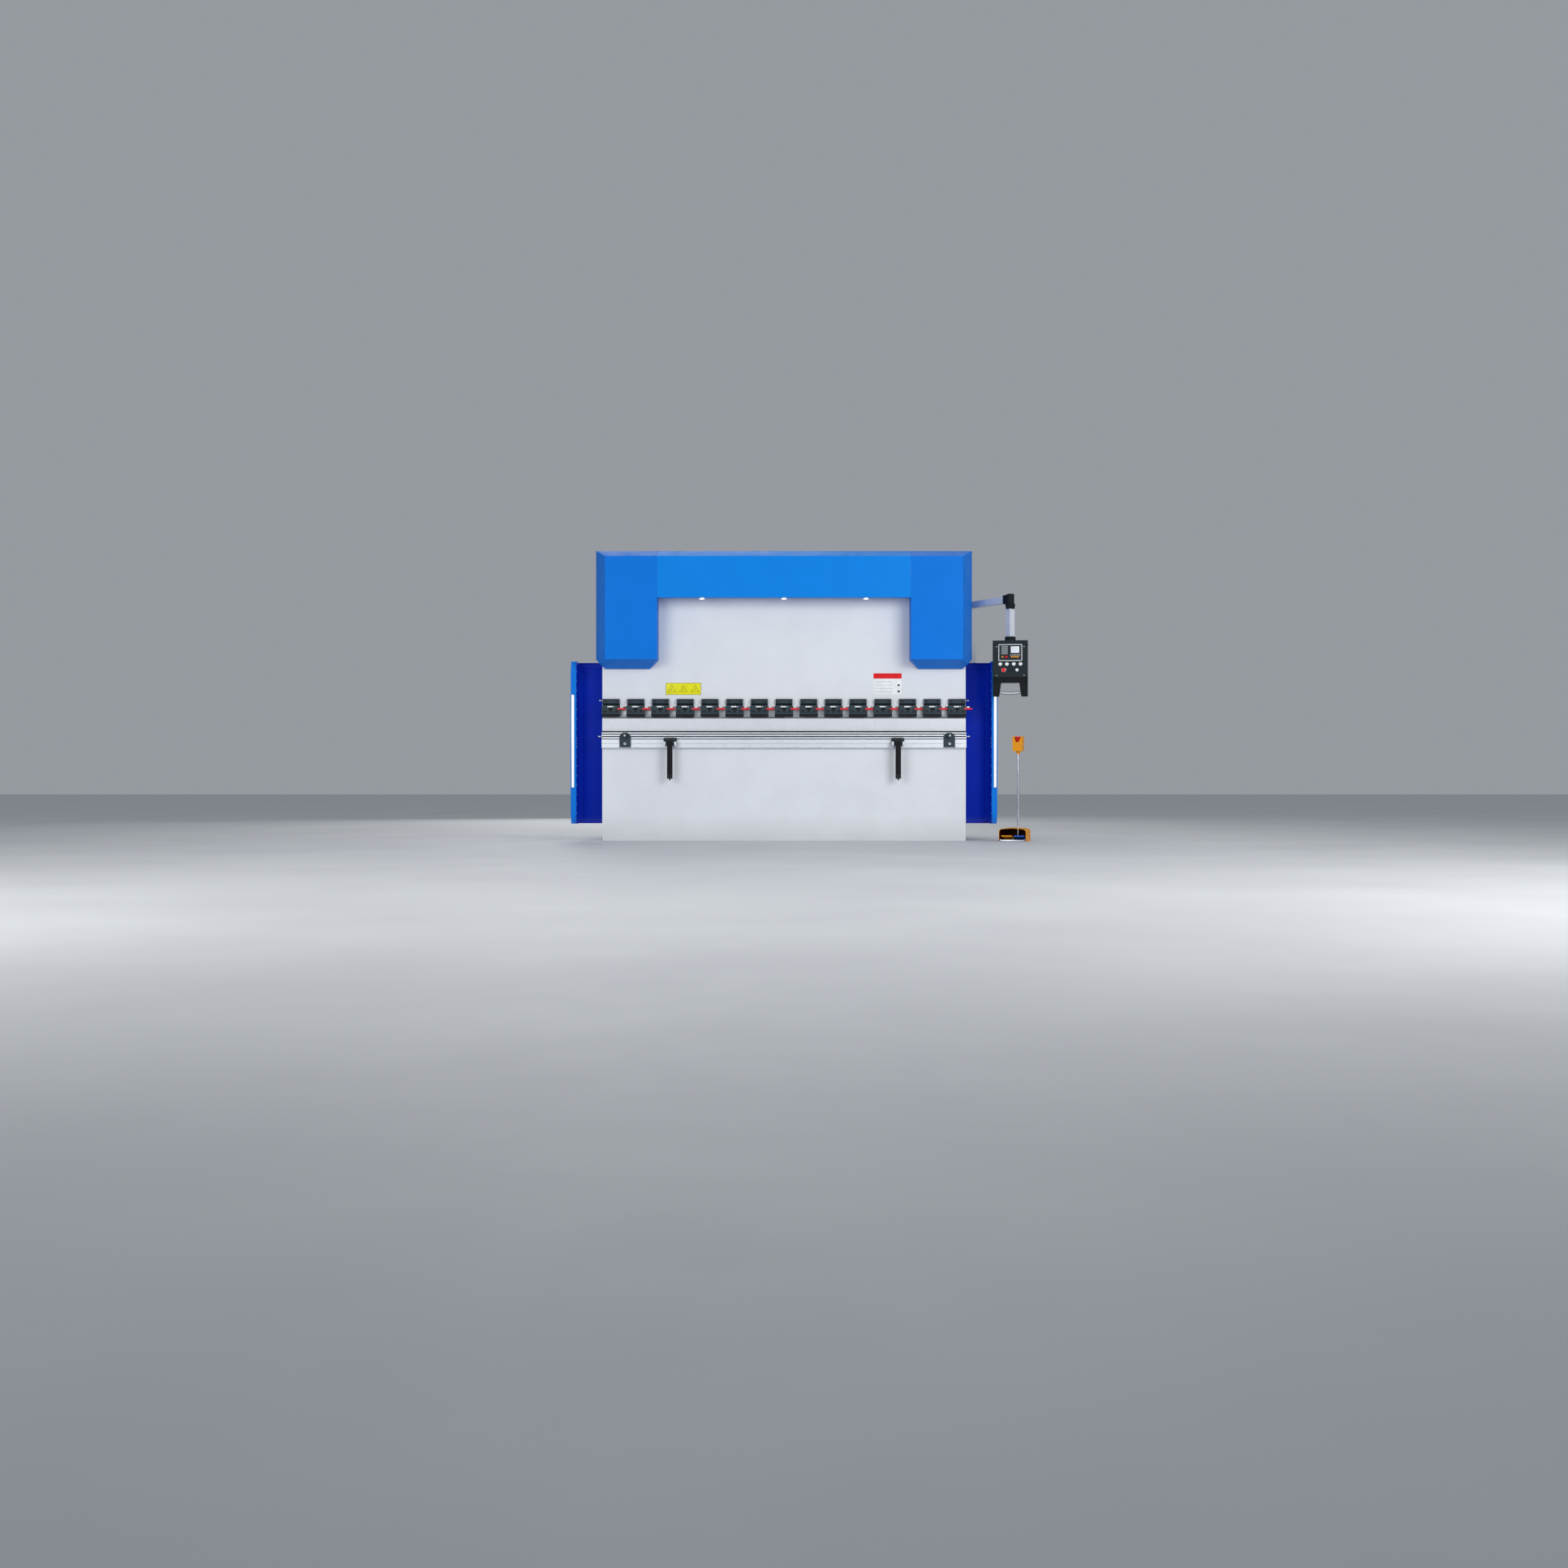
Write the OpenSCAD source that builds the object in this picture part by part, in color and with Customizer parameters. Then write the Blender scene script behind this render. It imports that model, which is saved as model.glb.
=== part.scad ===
// Hydraulic press brake with clamped punches, hinged side guards, sheet supports,
// back gauge, swing-arm pendant and foot station.
// Floor level is Z = 0, the bend line is the X axis above the origin, the operator stands at -Y.

/* [Bend line] */
// Length of the bed, the ram and the tools
bed_length = 3200; // [2800:50:4200]
// Thickness of the bed plate, front to back
bed_t = 100; // [90:5:110]
// Height of the top of the bed plate
bed_h = 965; // [900:5:1000]
// Height of the die above the bed plate
die_h = 112; // [90:1:140]
// Width of the V in the top of the die
die_v = 32; // [16:2:44]
// Number of equal die and punch segments
tool_segments = 4; // [2:1:8]
// Seam between two neighbouring segments
tool_seam = 0.4; // [0.2:0.1:1]
// Height from the punch tip to its shoulder
punch_h = 83; // [70:1:110]
// Thickness of the punch at its shoulder
punch_t = 40; // [30:1:44]
// Thickness of the punch tang
tang_t = 14; // [10:1:16]
// Length of the punch tang above the shoulder
tang_h = 28.5; // [22:0.5:30]
// Gap between the closed punch tip and the bottom of the V
tip_gap = 3; // [2:0.5:6]

/* [Ram] */
// Thickness of the ram plate
ram_t = 80; // [70:2:90]
// Clear height between the punch shoulder and the ram
ram_slot = 34; // [32:1:44]
// Height of the full-width part of the ram
ram_h = 469; // [430:1:560]
// Height of the whole ram plate
ram_full_h = 1119; // [1000:1:1140]
// Width of the tall middle part of the ram
ram_mid_w = 2300; // [1800:10:2340]
// Working stroke of the ram
stroke = 150; // [100:5:160]

/* [Punch clamps] */
// Centre distance of neighbouring clamps
clamp_pitch = 217.3; // [215:0.1:225]
// Width of a clamp jaw
jaw_w = 161; // [150:1:168]
// Width of a clamp adapter
adapter_w = 149; // [130:1:160]
// Distance of the jaw face in front of the bend line
jaw_front = 85; // [80:1:95]
// Height of the jaw below the punch shoulder
jaw_drop = 57; // [40:1:60]
// Height of the adapter plate above the ram's lower edge
adapter_rise = 67; // [60:1:90]
// Diameter of the jaw bolts
jaw_bolt_d = 20; // [14:1:22]
// Distance between the jaw bolts
jaw_bolt_pitch = 50; // [44:1:54]
// Height of a clamp lever
lever_w = 14; // [10:1:16]
// Length of a clamp lever from its pivot to its end
lever_len = 64; // [50:1:66]
// Diameter of the lever pivot shaft
lever_pin_d = 10; // [8:1:12]
// Radial running clearance of pins and shafts
running = 0.05; // [0.03:0.01:0.08]

/* [Side frames] */
// Thickness of a side frame plate
frame_t = 60; // [50:2:70]
// Distance of the frame centre inside the end of the bed
frame_inset = 152; // [140:1:170]
// Depth of a frame from the bend line to its back
frame_depth = 1100; // [1050:10:1300]
// Height of the frames above the bed
frame_rise = 1335; // [1335:5:1435]
// Depth of the throat from the bend line
throat_depth = 400; // [360:5:450]
// Height of the throat opening
throat_h = 560; // [520:5:570]
// Corner radius of the throat
throat_r = 120; // [80:5:150]
// Distance of the upper arm's front edge behind the bend line
upper_front = 135; // [130:1:140]

/* [Cylinders] */
// Distance of each cylinder from the machine centre line, inside the frame centre
cyl_inset = 48; // [30:1:60]
// Outer diameter of a cylinder barrel
barrel_d = 190; // [186:2:196]
// Bore of a cylinder
bore_d = 150; // [140:2:160]
// Diameter of a piston rod
rod_d = 110; // [90:2:116]
// Length of a cylinder barrel
barrel_l = 430; // [400:5:440]

/* [Covers] */
// Thickness of the cover sheet
sheet_t = 3; // [2:0.5:4]
// Height of the covers' top above the bed
cover_rise = 1585; // [1555:10:1655]
// Distance of the cover front from the bend line
cover_front = 238; // [230:1:270]
// Width of one cylinder cover
hood_w = 551; // [530:1:570]
// Distance of the cover's outer side past the end of the bed
hood_over = 54; // [50:1:70]
// Height of the lower edge of the cylinder covers above the bed
hood_rise = 546; // [540:1:575]
// Height of the lower edge of the middle cover above the bed
fascia_rise = 1155; // [1035:5:1235]
// Diameter of the round work lamps
lamp_d = 57; // [40:1:70]

/* [Front rail and supports] */
// Depth of the slotted front rail
rail_d = 40; // [35:1:45]
// Height of the slotted front rail
rail_h = 147; // [140:1:160]
// Distance of each sheet support from the centre
support_x = 998; // [900:1:1100]
// Width of a sheet support arm
support_w = 47; // [40:1:50]
// Length of a sheet support arm below its pivot
support_l = 344; // [280:1:400]

/* [Guards] */
// Height of the guard's lower edge
guard_z = 151; // [140:1:200]
// Height of the guard
guard_h = 1425; // [1300:5:1430]
// Width of the guard's back panel
guard_w = 213; // [180:1:216]
// Depth of the guard's outer panel
guard_d = 213; // [190:1:216]
// Width of the guard's front flange
flange_w = 45; // [30:1:46]
// Depth of the guard's front flange
flange_d = 30; // [20:1:34]
// Thickness of the guard sheet
guard_t = 4; // [3:0.5:6]

/* [Pendant] */
// Length of the pendant arm between its pivots
arm_len = 795; // [780:5:900]
// Direction of the pendant arm at rest, from +X
arm_dir = -58; // [-60:1:-50]
// Height of the pendant arm
arm_z = 2101; // [2080:1:2140]
// Width and height of the pendant arm tube
arm_w = 56; // [50:1:60]
// Width of the control case
case_w = 301; // [260:1:304]
// Depth of the control case
case_d = 120; // [100:1:124]
// Height of the top of the control case
case_top = 1740; // [1700:1:1760]
// Height of the coupling on top of the control case
coupling_h = 36; // [30:1:90]
// Height of the control case without its legs
case_h = 364; // [340:1:400]
// Turn of the control case about its tube at rest
case_yaw = -8; // [-15:1:0]

/* [Foot station] */
// Width of the foot station
station_w = 240; // [220:1:260]
// Depth of the foot station
station_d = 190; // [180:1:220]
// Height of the foot guard
station_h = 119; // [112:1:140]
// Turn of the foot station
station_yaw = -20; // [-30:1:0]
// Height of the post on the foot station
station_post_h = 762; // [700:1:820]
// Diameter of the post on the foot station
station_post_d = 20; // [16:1:24]

/* [Back gauge] */
// Length of the back gauge beam
gauge_len = 2520; // [2300:10:2540]
// Depth of the back gauge beam
gauge_d = 80; // [60:1:100]
// Height of the back gauge beam
gauge_h = 100; // [80:1:100]
// Distance of the gauge beam behind the bend line at rest
gauge_y = 300; // [280:5:340]
// Distance of the gauge guides from the centre
guide_x = 1050; // [900:10:1080]

/* [Hidden] */
$fn = 48;
clamp_count = 15;          // punch clamps, each with a lever of its own
CUT = 1;                   // how far a cut runs past a face
GAP = 0.3;                 // clearance between faces that move past each other
half = bed_length / 2;
bed_front = bed_t / 2;
die_top = bed_h + die_h;
tip_z = die_top - die_v / 2 + tip_gap;
shoulder_z = tip_z + punch_h;
ram_z = shoulder_z + ram_slot;
tang_seat = 0.5;           // gap over the top of the tang
tang_top = shoulder_z + tang_h + tang_seat;
shelf_z = ram_z - ram_slot - jaw_drop;
adapter_t = 28;            // adapter plate in front of the ram
jaw_back = 25;             // jaw lip's rear face in front of the bend line
adapter_seat = 50;         // face where the jaw seats on the adapter
frame_x = half - frame_inset;
frame_in = frame_x - frame_t / 2;
frame_out = frame_x + frame_t / 2;
frame_h = bed_h + frame_rise;
cover_h = bed_h + cover_rise;
hood_z = bed_h + hood_rise;
fascia_z = bed_h + fascia_rise;
throat_z = bed_h - 25;
throat_top = throat_z + throat_h;
cyl_x = frame_x - cyl_inset;
cyl_top = throat_top + 830;
cyl_z = cyl_top - barrel_l;
hood_x1 = half + hood_over;
hood_x0 = hood_x1 - hood_w;
cover_bevel_h = 71;        // height of the sloped edge of the covers
cover_bevel_d = 188;       // depth of the sloped edge of the covers
cover_back = upper_front + 65;
hood_side_bevel = 100;
hood_wall_back = 140;
hood_corner_out = 83;
hood_corner_in = 76;
rail_front = bed_front + rail_d;
rail_z = bed_h - rail_h;
pivot_y = 140;             // guard hinge line behind the bend line
guard_hinge_x = half;
guard_back_y = pivot_y - 30;
guard_x0 = guard_hinge_x + 12;
guard_x1 = guard_x0 + guard_w;
guard_front_y = guard_back_y + guard_t - guard_d - guard_t;
hinge_pin_r = 6;
hinge_r = 12;
hinge_h = 60;
hinge_zs = [for (k = [0.08, 0.5, 0.92]) guard_z + guard_h * k];
post_w = 40;
support_pivot_y = -rail_front - 60;
support_pivot_z = rail_z + 72;
arm_px = frame_out + 62;   // pendant pivot
arm_py = throat_depth + 24;
elbow_x = arm_px + arm_len * cos(arm_dir);
elbow_y = arm_py + arm_len * sin(arm_dir);
arm_pin_r = 20;
swivel_r = 22;
swivel_l = 60;             // length of the swivel spigot
case_front = -75;          // case front from its tube
station_x = half + 410;
station_y = -180;
case_z = case_top - case_h;
gauge_z = bed_h + 82;      // underside of the gauge beam
guide_z = gauge_z - 27;
finger_x = gauge_len / 2 - 70;
cab_w = 259;
cab_d = 600;
cab_z = 650;
cab_h = 1147;
cab_y = frame_depth - 50 - cab_d;
cab_t = 3;
door_t = 19;
door_x = frame_out + cab_w;
navy = [0.02, 0.12, 0.42];
cover_blue = [0.02, 0.42, 0.86];
pale = [0.86, 0.88, 0.90];
slate = [0.15, 0.20, 0.24];
steel = [0.72, 0.74, 0.76];
alu = [0.80, 0.82, 0.84];
amber = [0.88, 0.58, 0.05];

function two(n) = str(n < 10 ? "0" : "", n);
LEVERS = [for (i = [1:clamp_count]) str("clamp_lever_", two(i))];

// ---- helpers ----------------------------------------------------------------
// a box from its low corner to its high corner
module box(a, b) translate(a) cube(b - a);
// an outline of [y, z] points drawn out along X
module along_x(x0, x1) translate([x0, 0, 0]) rotate([90, 0, 90]) linear_extrude(x1 - x0) children();
// an outline of [x, z] points drawn out along Y
module along_y(y0, y1) translate([0, y1, 0]) rotate([90, 0, 0]) linear_extrude(y1 - y0) children();
module rod_x(x0, x1, r) translate([x0, 0, 0]) rotate([0, 90, 0]) cylinder(h = x1 - x0, r = r);
module rod_y(y0, y1, r) translate([0, y1, 0]) rotate([90, 0, 0]) cylinder(h = y1 - y0, r = r);
module both_sides() {
    children();
    mirror([1, 0, 0]) children();
}
// a square tube standing up
module post(w, h, wall) difference() {
    translate([-w / 2, -w / 2, 0]) cube([w, w, h]);
    translate([-w / 2 + wall, -w / 2 + wall, -CUT]) cube([w - 2 * wall, w - 2 * wall, h + 2 * CUT]);
}
function clamp_x(i) = (i - (clamp_count + 1) / 2) * clamp_pitch;

// ---- frame and bed ----------------------------------------------------------
module frame_outline() {
    slope_z = throat_top + 200;
    difference() {
        polygon([[bed_front, 0], [frame_depth, 0], [frame_depth, slope_z],
            [frame_depth - 340, frame_h], [upper_front, frame_h],
            [upper_front, throat_z], [bed_front, throat_z]]);
        translate([bed_front - CUT, throat_z])
            square([throat_depth - bed_front - throat_r + CUT, throat_h]);
        translate([throat_depth - throat_r - CUT, throat_z + throat_r])
            square([throat_r + CUT, throat_h - 2 * throat_r]);
        for (z = [throat_z + throat_r, throat_top - throat_r])
            translate([throat_depth - throat_r, z]) circle(r = throat_r);
    }
}
module side_frame_right() color(navy) {
    along_x(frame_in, frame_out) frame_outline();
    // post that carries the roof of the cylinder cover
    box([frame_in, upper_front + 5, frame_h], [frame_out, cover_back - 10, cover_h - sheet_t]);
}
module side_frame_left() translate([-2 * frame_x, 0, 0]) side_frame_right();

module bed_plate() color(pale) {
    plinth_h = 46;
    box([-half, -bed_front, 0], [half, bed_front, bed_h]);
    box([-half, -bed_front - 6, 0], [half, -bed_front, plinth_h]);
}
module anchor_pads() color(navy) {
    pad = 142;
    for (y = [150, frame_depth - 100]) both_sides() difference() {
        box([frame_out, y - pad / 2, 0], [frame_out + pad, y + pad / 2, 25]);
        translate([frame_out + pad / 2, y, -CUT]) cylinder(h = 25 + 2 * CUT, r = 14);
    }
}
module rear_tie_beams() color(navy) {
    for (b = [[frame_depth - 110, 100, 100, 200], [420, 1860, 200, 140], [frame_depth - 110, 1500, 100, 160]])
        difference() {
            box([-frame_in, b[0], b[1]], [frame_in, b[0] + b[2], b[1] + b[3]]);
            box([-frame_in - CUT, b[0] + 8, b[1] + 8], [frame_in + CUT, b[0] + b[2] - 8, b[1] + b[3] - 8]);
        }
}

// ---- hydraulics -------------------------------------------------------------
tie_top = 2000;
module oil_tank() color(navy) {
    difference() {
        box([-1000, 320, tie_top], [300, 720, tie_top + 300]);
        box([-996, 324, tie_top + 4], [296, 716, tie_top + 296]);
        translate([-800, 520, tie_top + 290]) cylinder(h = 20, r = 30);
    }
    // filler cap and return filter
    translate([-800, 520, tie_top + 280]) cylinder(h = 20, r = 30);
    translate([-800, 520, tie_top + 300]) cylinder(h = 40, r = 45);
    translate([-300, 520, tie_top + 300]) cylinder(h = 90, r = 60);
}
module pump_motor() color(slate) {
    z = tie_top + 140;
    translate([0, 520, z]) rod_x(520, 860, 110);
    box([560, 440, tie_top], [820, 600, z - 60]);
    translate([0, 520, z]) rod_x(420, 520, 75);
    translate([0, 520, z]) rod_x(300, 420, 55);
    box([620, 470, z + 90], [760, 570, z + 160]);
}
module cylinder_barrels() color(slate) both_sides() difference() {
    gland = 60;
    cap = 40;
    union() {
        translate([cyl_x, 0, cyl_z]) cylinder(h = barrel_l, d = barrel_d);
        box([cyl_x - 110, 0, cyl_z + 60], [cyl_x + 110, upper_front, cyl_top - 60]);
    }
    translate([cyl_x, 0, cyl_z + gland]) cylinder(h = barrel_l - gland - cap, d = bore_d);
    translate([cyl_x, 0, cyl_z - CUT]) cylinder(h = gland + 2 * CUT, r = rod_d / 2 + running);
}
module piston_rods() color(steel) both_sides() {
    piston_z = cyl_z + 60 + 5;
    piston_h = barrel_l - 60 - 40 - stroke - 100;
    translate([cyl_x, 0, ram_z + ram_h]) cylinder(h = piston_z - ram_z - ram_h, d = rod_d);
    translate([cyl_x, 0, piston_z]) cylinder(h = piston_h, r = bore_d / 2 - running);
}
module valve_blocks() color(steel) both_sides() {
    box([cyl_x - 70, -60, cyl_top], [cyl_x + 70, 60, cyl_top + 110]);
    for (s = [-1, 1]) translate([cyl_x + s * 35, 0, cyl_top + 110]) cylinder(h = 55, r = 22);
    translate([0, 0, cyl_top + 55]) translate([cyl_x, 0, 0]) rod_y(60, 130, 25);
}

// ---- covers -----------------------------------------------------------------
// how far an inset edge t moves along a wall that meets a slope of rise m
function ridge(m, t) = t * (sqrt(1 + m * m) - m);
function brow(m, t) = t * (sqrt(1 + m * m) - 1) / m;
module hood_block(t, back) {
    m = cover_bevel_h / cover_bevel_d;
    n = hood_side_bevel / cover_bevel_d;
    k = t * tan(22.5);
    y0 = -cover_front + t;
    y1 = -cover_front + cover_bevel_d;
    intersection() {
        along_y(-cover_front - CUT, back) polygon([[hood_x0 + t, hood_z + hood_corner_in + k],
            [hood_x0 + hood_corner_in + k, hood_z + t], [hood_x1 - hood_corner_out - k, hood_z + t],
            [hood_x1 - t, hood_z + hood_corner_out + k], [hood_x1 - t, cover_h - t],
            [hood_x0 + t, cover_h - t]]);
        along_x(hood_x0 - CUT, hood_x1 + CUT) polygon([
            [y0, hood_z + cover_bevel_h + ridge(m, t)], [y0, cover_h - cover_bevel_h - ridge(m, t)],
            [y1 + brow(m, t), cover_h - t], [back, cover_h - t], [back, hood_z + t],
            [y1 + brow(m, t), hood_z + t]]);
        translate([0, 0, hood_z - CUT]) linear_extrude(cover_h - hood_z + 2 * CUT)
            polygon([[hood_x0 + t, y0], [hood_x1 - hood_side_bevel - ridge(n, t), y0],
                [hood_x1 - t, y1 + brow(n, t)], [hood_x1 - t, back], [hood_x0 + t, back]]);
    }
}
module hoods() color(cover_blue) both_sides() difference() {
    y1 = -cover_front + cover_bevel_d;
    hood_block(0, cover_back);
    hood_block(sheet_t, cover_back + CUT);
    box([hood_x0 - CUT, y1, hood_z - CUT], [hood_x1 - sheet_t, cover_back + CUT, cover_h - sheet_t]);
    box([hood_x0 - CUT, hood_wall_back, hood_z - CUT], [hood_x1 + CUT, cover_back + CUT, cover_h - sheet_t]);
}
module front_fascia() color(cover_blue) {
    m = cover_bevel_h / cover_bevel_d;
    t = sheet_t;
    y0 = -cover_front;
    y1 = y0 + cover_bevel_d;
    z1 = cover_h - cover_bevel_h;
    seam = 0.5;
    along_x(-hood_x0 + seam, hood_x0 - seam) polygon([[y0, fascia_z], [y0, z1], [y1, cover_h],
        [cover_back, cover_h], [cover_back, cover_h - t], [y1 + brow(m, t), cover_h - t],
        [y0 + t, z1 - ridge(m, t)], [y0 + t, fascia_z + t], [y0 + 48, fascia_z + t], [y0 + 48, fascia_z]]);
}
module work_lamps() color("white") for (x = [-714, 0, 714])
    translate([x, -cover_front + lamp_d / 2 + 4, fascia_z - 12]) cylinder(h = 12, d = lamp_d);

// ---- guides -----------------------------------------------------------------
tongue_w = 30;
module guide_rails() color(steel) both_sides() {
    z0 = throat_top;
    box([frame_in, upper_front - 35, z0], [frame_out, upper_front, cyl_z - 20]);
    box([frame_x - tongue_w / 2, upper_front - 75, z0], [frame_x + tongue_w / 2, upper_front - 35, cyl_z - 20]);
}
module guide_shoes() color("goldenrod") both_sides() difference() {
    y0 = ram_t / 2;
    y1 = upper_front - 35 - GAP;
    z1 = ram_z + ram_h;
    box([frame_x - 45, y0, z1 - 200], [frame_x + 45, y1, z1]);
    box([frame_x - tongue_w / 2 - GAP, upper_front - 75 - GAP, z1 - 200 - CUT],
        [frame_x + tongue_w / 2 + GAP, y1 + CUT, z1 + CUT]);
}

// ---- front rail, stops and sheet supports ------------------------------------
module front_rail() color(alu) {
    difference() {
        box([-half, -rail_front, rail_z], [half, -bed_front, bed_h]);
        // shadow step along the top
        box([-half - CUT, -rail_front - CUT, bed_h - 13], [half + CUT, -rail_front + 12, bed_h + CUT]);
        // open slots: height above the lower edge, width, depth
        for (s = [[119, 9, 14], [97.7, 10, 10], [77, 7, 14], [37, 2, 2]])
            box([-half - CUT, -rail_front - CUT, rail_z + s[0] - s[1] / 2],
                [half + CUT, -rail_front + s[2], rail_z + s[0] + s[1] / 2]);
        // wide inside of the T-slot
        box([-half - CUT, -rail_front + 6, rail_z + 89.7], [half + CUT, -rail_front + 14, rail_z + 105.7]);
    }
    // ball-ended pins in the rail ends
    both_sides() translate([0, -bed_front - rail_d / 2, rail_z + 99]) {
        rod_x(half, half + 24, 6);
        translate([half + 25, 0, 0]) sphere(r = 11);
    }
}
module stop_plate(x) {
    w = 98;
    y1 = -rail_front;
    difference() {
        along_y(y1 - 12, y1) translate([x, rail_z + 4]) polygon([[-w / 2, 0], [w / 2, 0],
            [w / 2, 100], [w / 2 - 27, 127], [-w / 2 + 27, 127], [-w / 2, 100]]);
        translate([x, 0, rail_z + 35]) rod_y(y1 - 12 - CUT, y1 + CUT, 8);
    }
    translate([x, 0, rail_z + 106]) rod_y(y1 - 50, y1 - 12, 20.5);
    translate([x, 0, rail_z + 35]) rod_y(y1 - 22, y1, 8);
    translate([x, 0, rail_z + 35]) rod_y(y1 - 22, y1 - 12, 12);
}
module rail_stops() color(slate) {
    stop_plate(-half + 206);
    stop_plate(half - 149);
}
module support_slide(x) color(slate) {
    y1 = -rail_front - GAP;
    z = support_pivot_z;
    cheek = 12;
    in = support_w / 2 + GAP;
    difference() {
        union() {
            box([x - 56.5, y1 - 14, z - 55], [x + 56.5, y1, z + 15]);
            for (s = [-1, 1]) translate([x + s * (in + cheek / 2), 0, 0]) {
                box([-cheek / 2, support_pivot_y, z - 15], [cheek / 2, y1 - 14 + CUT, z + 15]);
                translate([0, support_pivot_y, z]) rod_x(-cheek / 2, cheek / 2, 15);
            }
        }
        translate([0, support_pivot_y, z]) rod_x(x - 60, x + 60, 6 + running);
    }
    // pivot pin
    translate([0, support_pivot_y, z]) rod_x(x - in - cheek - 3, x + in + cheek + 3, 6);
    // pale angle pieces beside the arm
    for (s = [-1, 1]) translate([x + s * 47, 0, 0])
        box([-9, y1 - 40, z - 55], [9, y1 - 14, z - 20]);
}
module support_arm(x) color(slate) {
    z = support_pivot_z;
    w = support_w / 2;
    difference() {
        union() {
            box([x - w, support_pivot_y - 14, z - support_l], [x + w, support_pivot_y + 14, z]);
            translate([0, support_pivot_y, z]) rod_x(x - w, x + w, 14);
        }
        translate([0, support_pivot_y, z]) rod_x(x - w - CUT, x + w + CUT, 6 + running);
    }
    translate([x, support_pivot_y, z - support_l - 14]) cylinder(h = 14, r = 7);
}
module support_slide_left() support_slide(-support_x);
module support_slide_right() support_slide(support_x);
module support_arm_left() support_arm(-support_x);
module support_arm_right() support_arm(support_x);

// ---- tools ------------------------------------------------------------------
module each_segment() {
    l = bed_length / tool_segments;
    for (i = [0:tool_segments - 1]) along_x(-half + i * l + tool_seam / 2, -half + (i + 1) * l - tool_seam / 2)
        children();
}
module lower_die() color(steel) each_segment()
    polygon([[-bed_front, bed_h], [bed_front, bed_h], [bed_front, die_top], [die_v / 2, die_top],
        [0, die_top - die_v / 2], [-die_v / 2, die_top], [-bed_front, die_top]]);
module punches() color(steel) each_segment() {
    w = punch_t / 2;
    a = tang_t / 2;
    polygon([[-1, tip_z], [1, tip_z], [w - 3, tip_z + w - 2], [w, shoulder_z - 30], [w, shoulder_z],
        [a, shoulder_z], [a, shoulder_z + tang_h], [-a, shoulder_z + tang_h], [-a, shoulder_z],
        [-w, shoulder_z], [-w, shoulder_z - 30], [-w + 3, tip_z + w - 2]]);
}

// ---- ram and clamps ---------------------------------------------------------
module ram() color(pale) {
    m = ram_mid_w / 2;
    along_y(-ram_t / 2, ram_t / 2) polygon([[-half, ram_z], [half, ram_z], [half, ram_z + ram_h],
        [m, ram_z + ram_h], [m, ram_z + ram_full_h], [-m, ram_z + ram_full_h],
        [-m, ram_z + ram_h], [-half, ram_z + ram_h]]);
    both_sides() translate([0, 0, ram_z + 55]) {
        rod_x(half, half + 24, 6);
        translate([half + 25, 0, 0]) sphere(r = 11);
    }
}
module clamp_adapters() color(slate) for (i = [1:clamp_count]) translate([clamp_x(i), 0, 0]) {
    f = ram_t / 2;
    a = tang_t / 2;
    top = ram_z + adapter_rise;
    along_x(-adapter_w / 2, adapter_w / 2) polygon([[f, ram_z], [f, shoulder_z], [a, shoulder_z],
        [a, tang_top], [-adapter_seat, tang_top], [-adapter_seat, ram_z + 15],
        [-f - adapter_t, ram_z + 27], [-f - adapter_t, top - 10], [-f - adapter_t + 10, top],
        [-f, top], [-f, ram_z]]);
}
jaw_top = shoulder_z + ram_slot + 5;
lever_z = shoulder_z + 12;
lever_px = jaw_w / 2 - 12.5;
lever_hole = 20;
module clamp_jaw() {
    a = tang_t / 2;
    difference() {
        along_x(-jaw_w / 2, jaw_w / 2) polygon([[-a, shoulder_z], [-a, tang_top],
            [-adapter_seat, tang_top], [-adapter_seat, jaw_top], [-jaw_front, jaw_top],
            [-jaw_front, shelf_z + 23], [-jaw_front + 13, shelf_z], [-jaw_back, shelf_z],
            [-jaw_back, shoulder_z]]);
        // finger notch
        along_y(-jaw_front - CUT, -jaw_front + 8) polygon([[-20, shoulder_z + 3], [20, shoulder_z + 3],
            [14, shoulder_z + 21], [-14, shoulder_z + 21]]);
        translate([lever_px, 0, lever_z]) rod_y(-jaw_front - CUT, -jaw_front + lever_hole, lever_pin_d / 2 + running);
    }
}
module clamp_jaws() for (i = [1:clamp_count]) translate([clamp_x(i), 0, 0]) {
    color(slate) clamp_jaw();
    // end of the wedge strip
    color(steel) box([jaw_w / 2, -jaw_front + 6, shoulder_z + 19], [jaw_w / 2 + 27, -jaw_front + 28, shoulder_z + 34]);
}
module socket_bolt(y, d, h) difference() {
    rod_y(y - h, y, d / 2);
    translate([0, y - h + 4, 0]) rotate([90, 0, 0]) linear_extrude(4 + CUT) circle(d = d * 0.5, $fn = 6);
}
module clamp_bolts() color(steel) for (i = [1:clamp_count]) translate([clamp_x(i), 0, 0]) {
    for (k = [-1:1]) translate([k * jaw_bolt_pitch, 0, shoulder_z - 9]) socket_bolt(-jaw_front, jaw_bolt_d, 7);
    for (s = [-1, 1]) translate([s * adapter_w * 0.33, 0, ram_z + 42])
        socket_bolt(-ram_t / 2 - adapter_t, jaw_bolt_d * 0.8, 7);
}
module clamp_lever(i) color("red") translate([clamp_x(i) + lever_px, 0, lever_z]) {
    y1 = -jaw_front - GAP;
    r = lever_w / 2;
    rod_y(y1 - 12, y1, r + 2);
    rod_y(y1 - CUT, -jaw_front + lever_hole - 2, lever_pin_d / 2);
    box([0, y1 - 12, -r], [lever_len - r, y1 - 2, r]);
    translate([lever_len - r, 0, 0]) rod_y(y1 - 12, y1 - 2, r);
}

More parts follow.
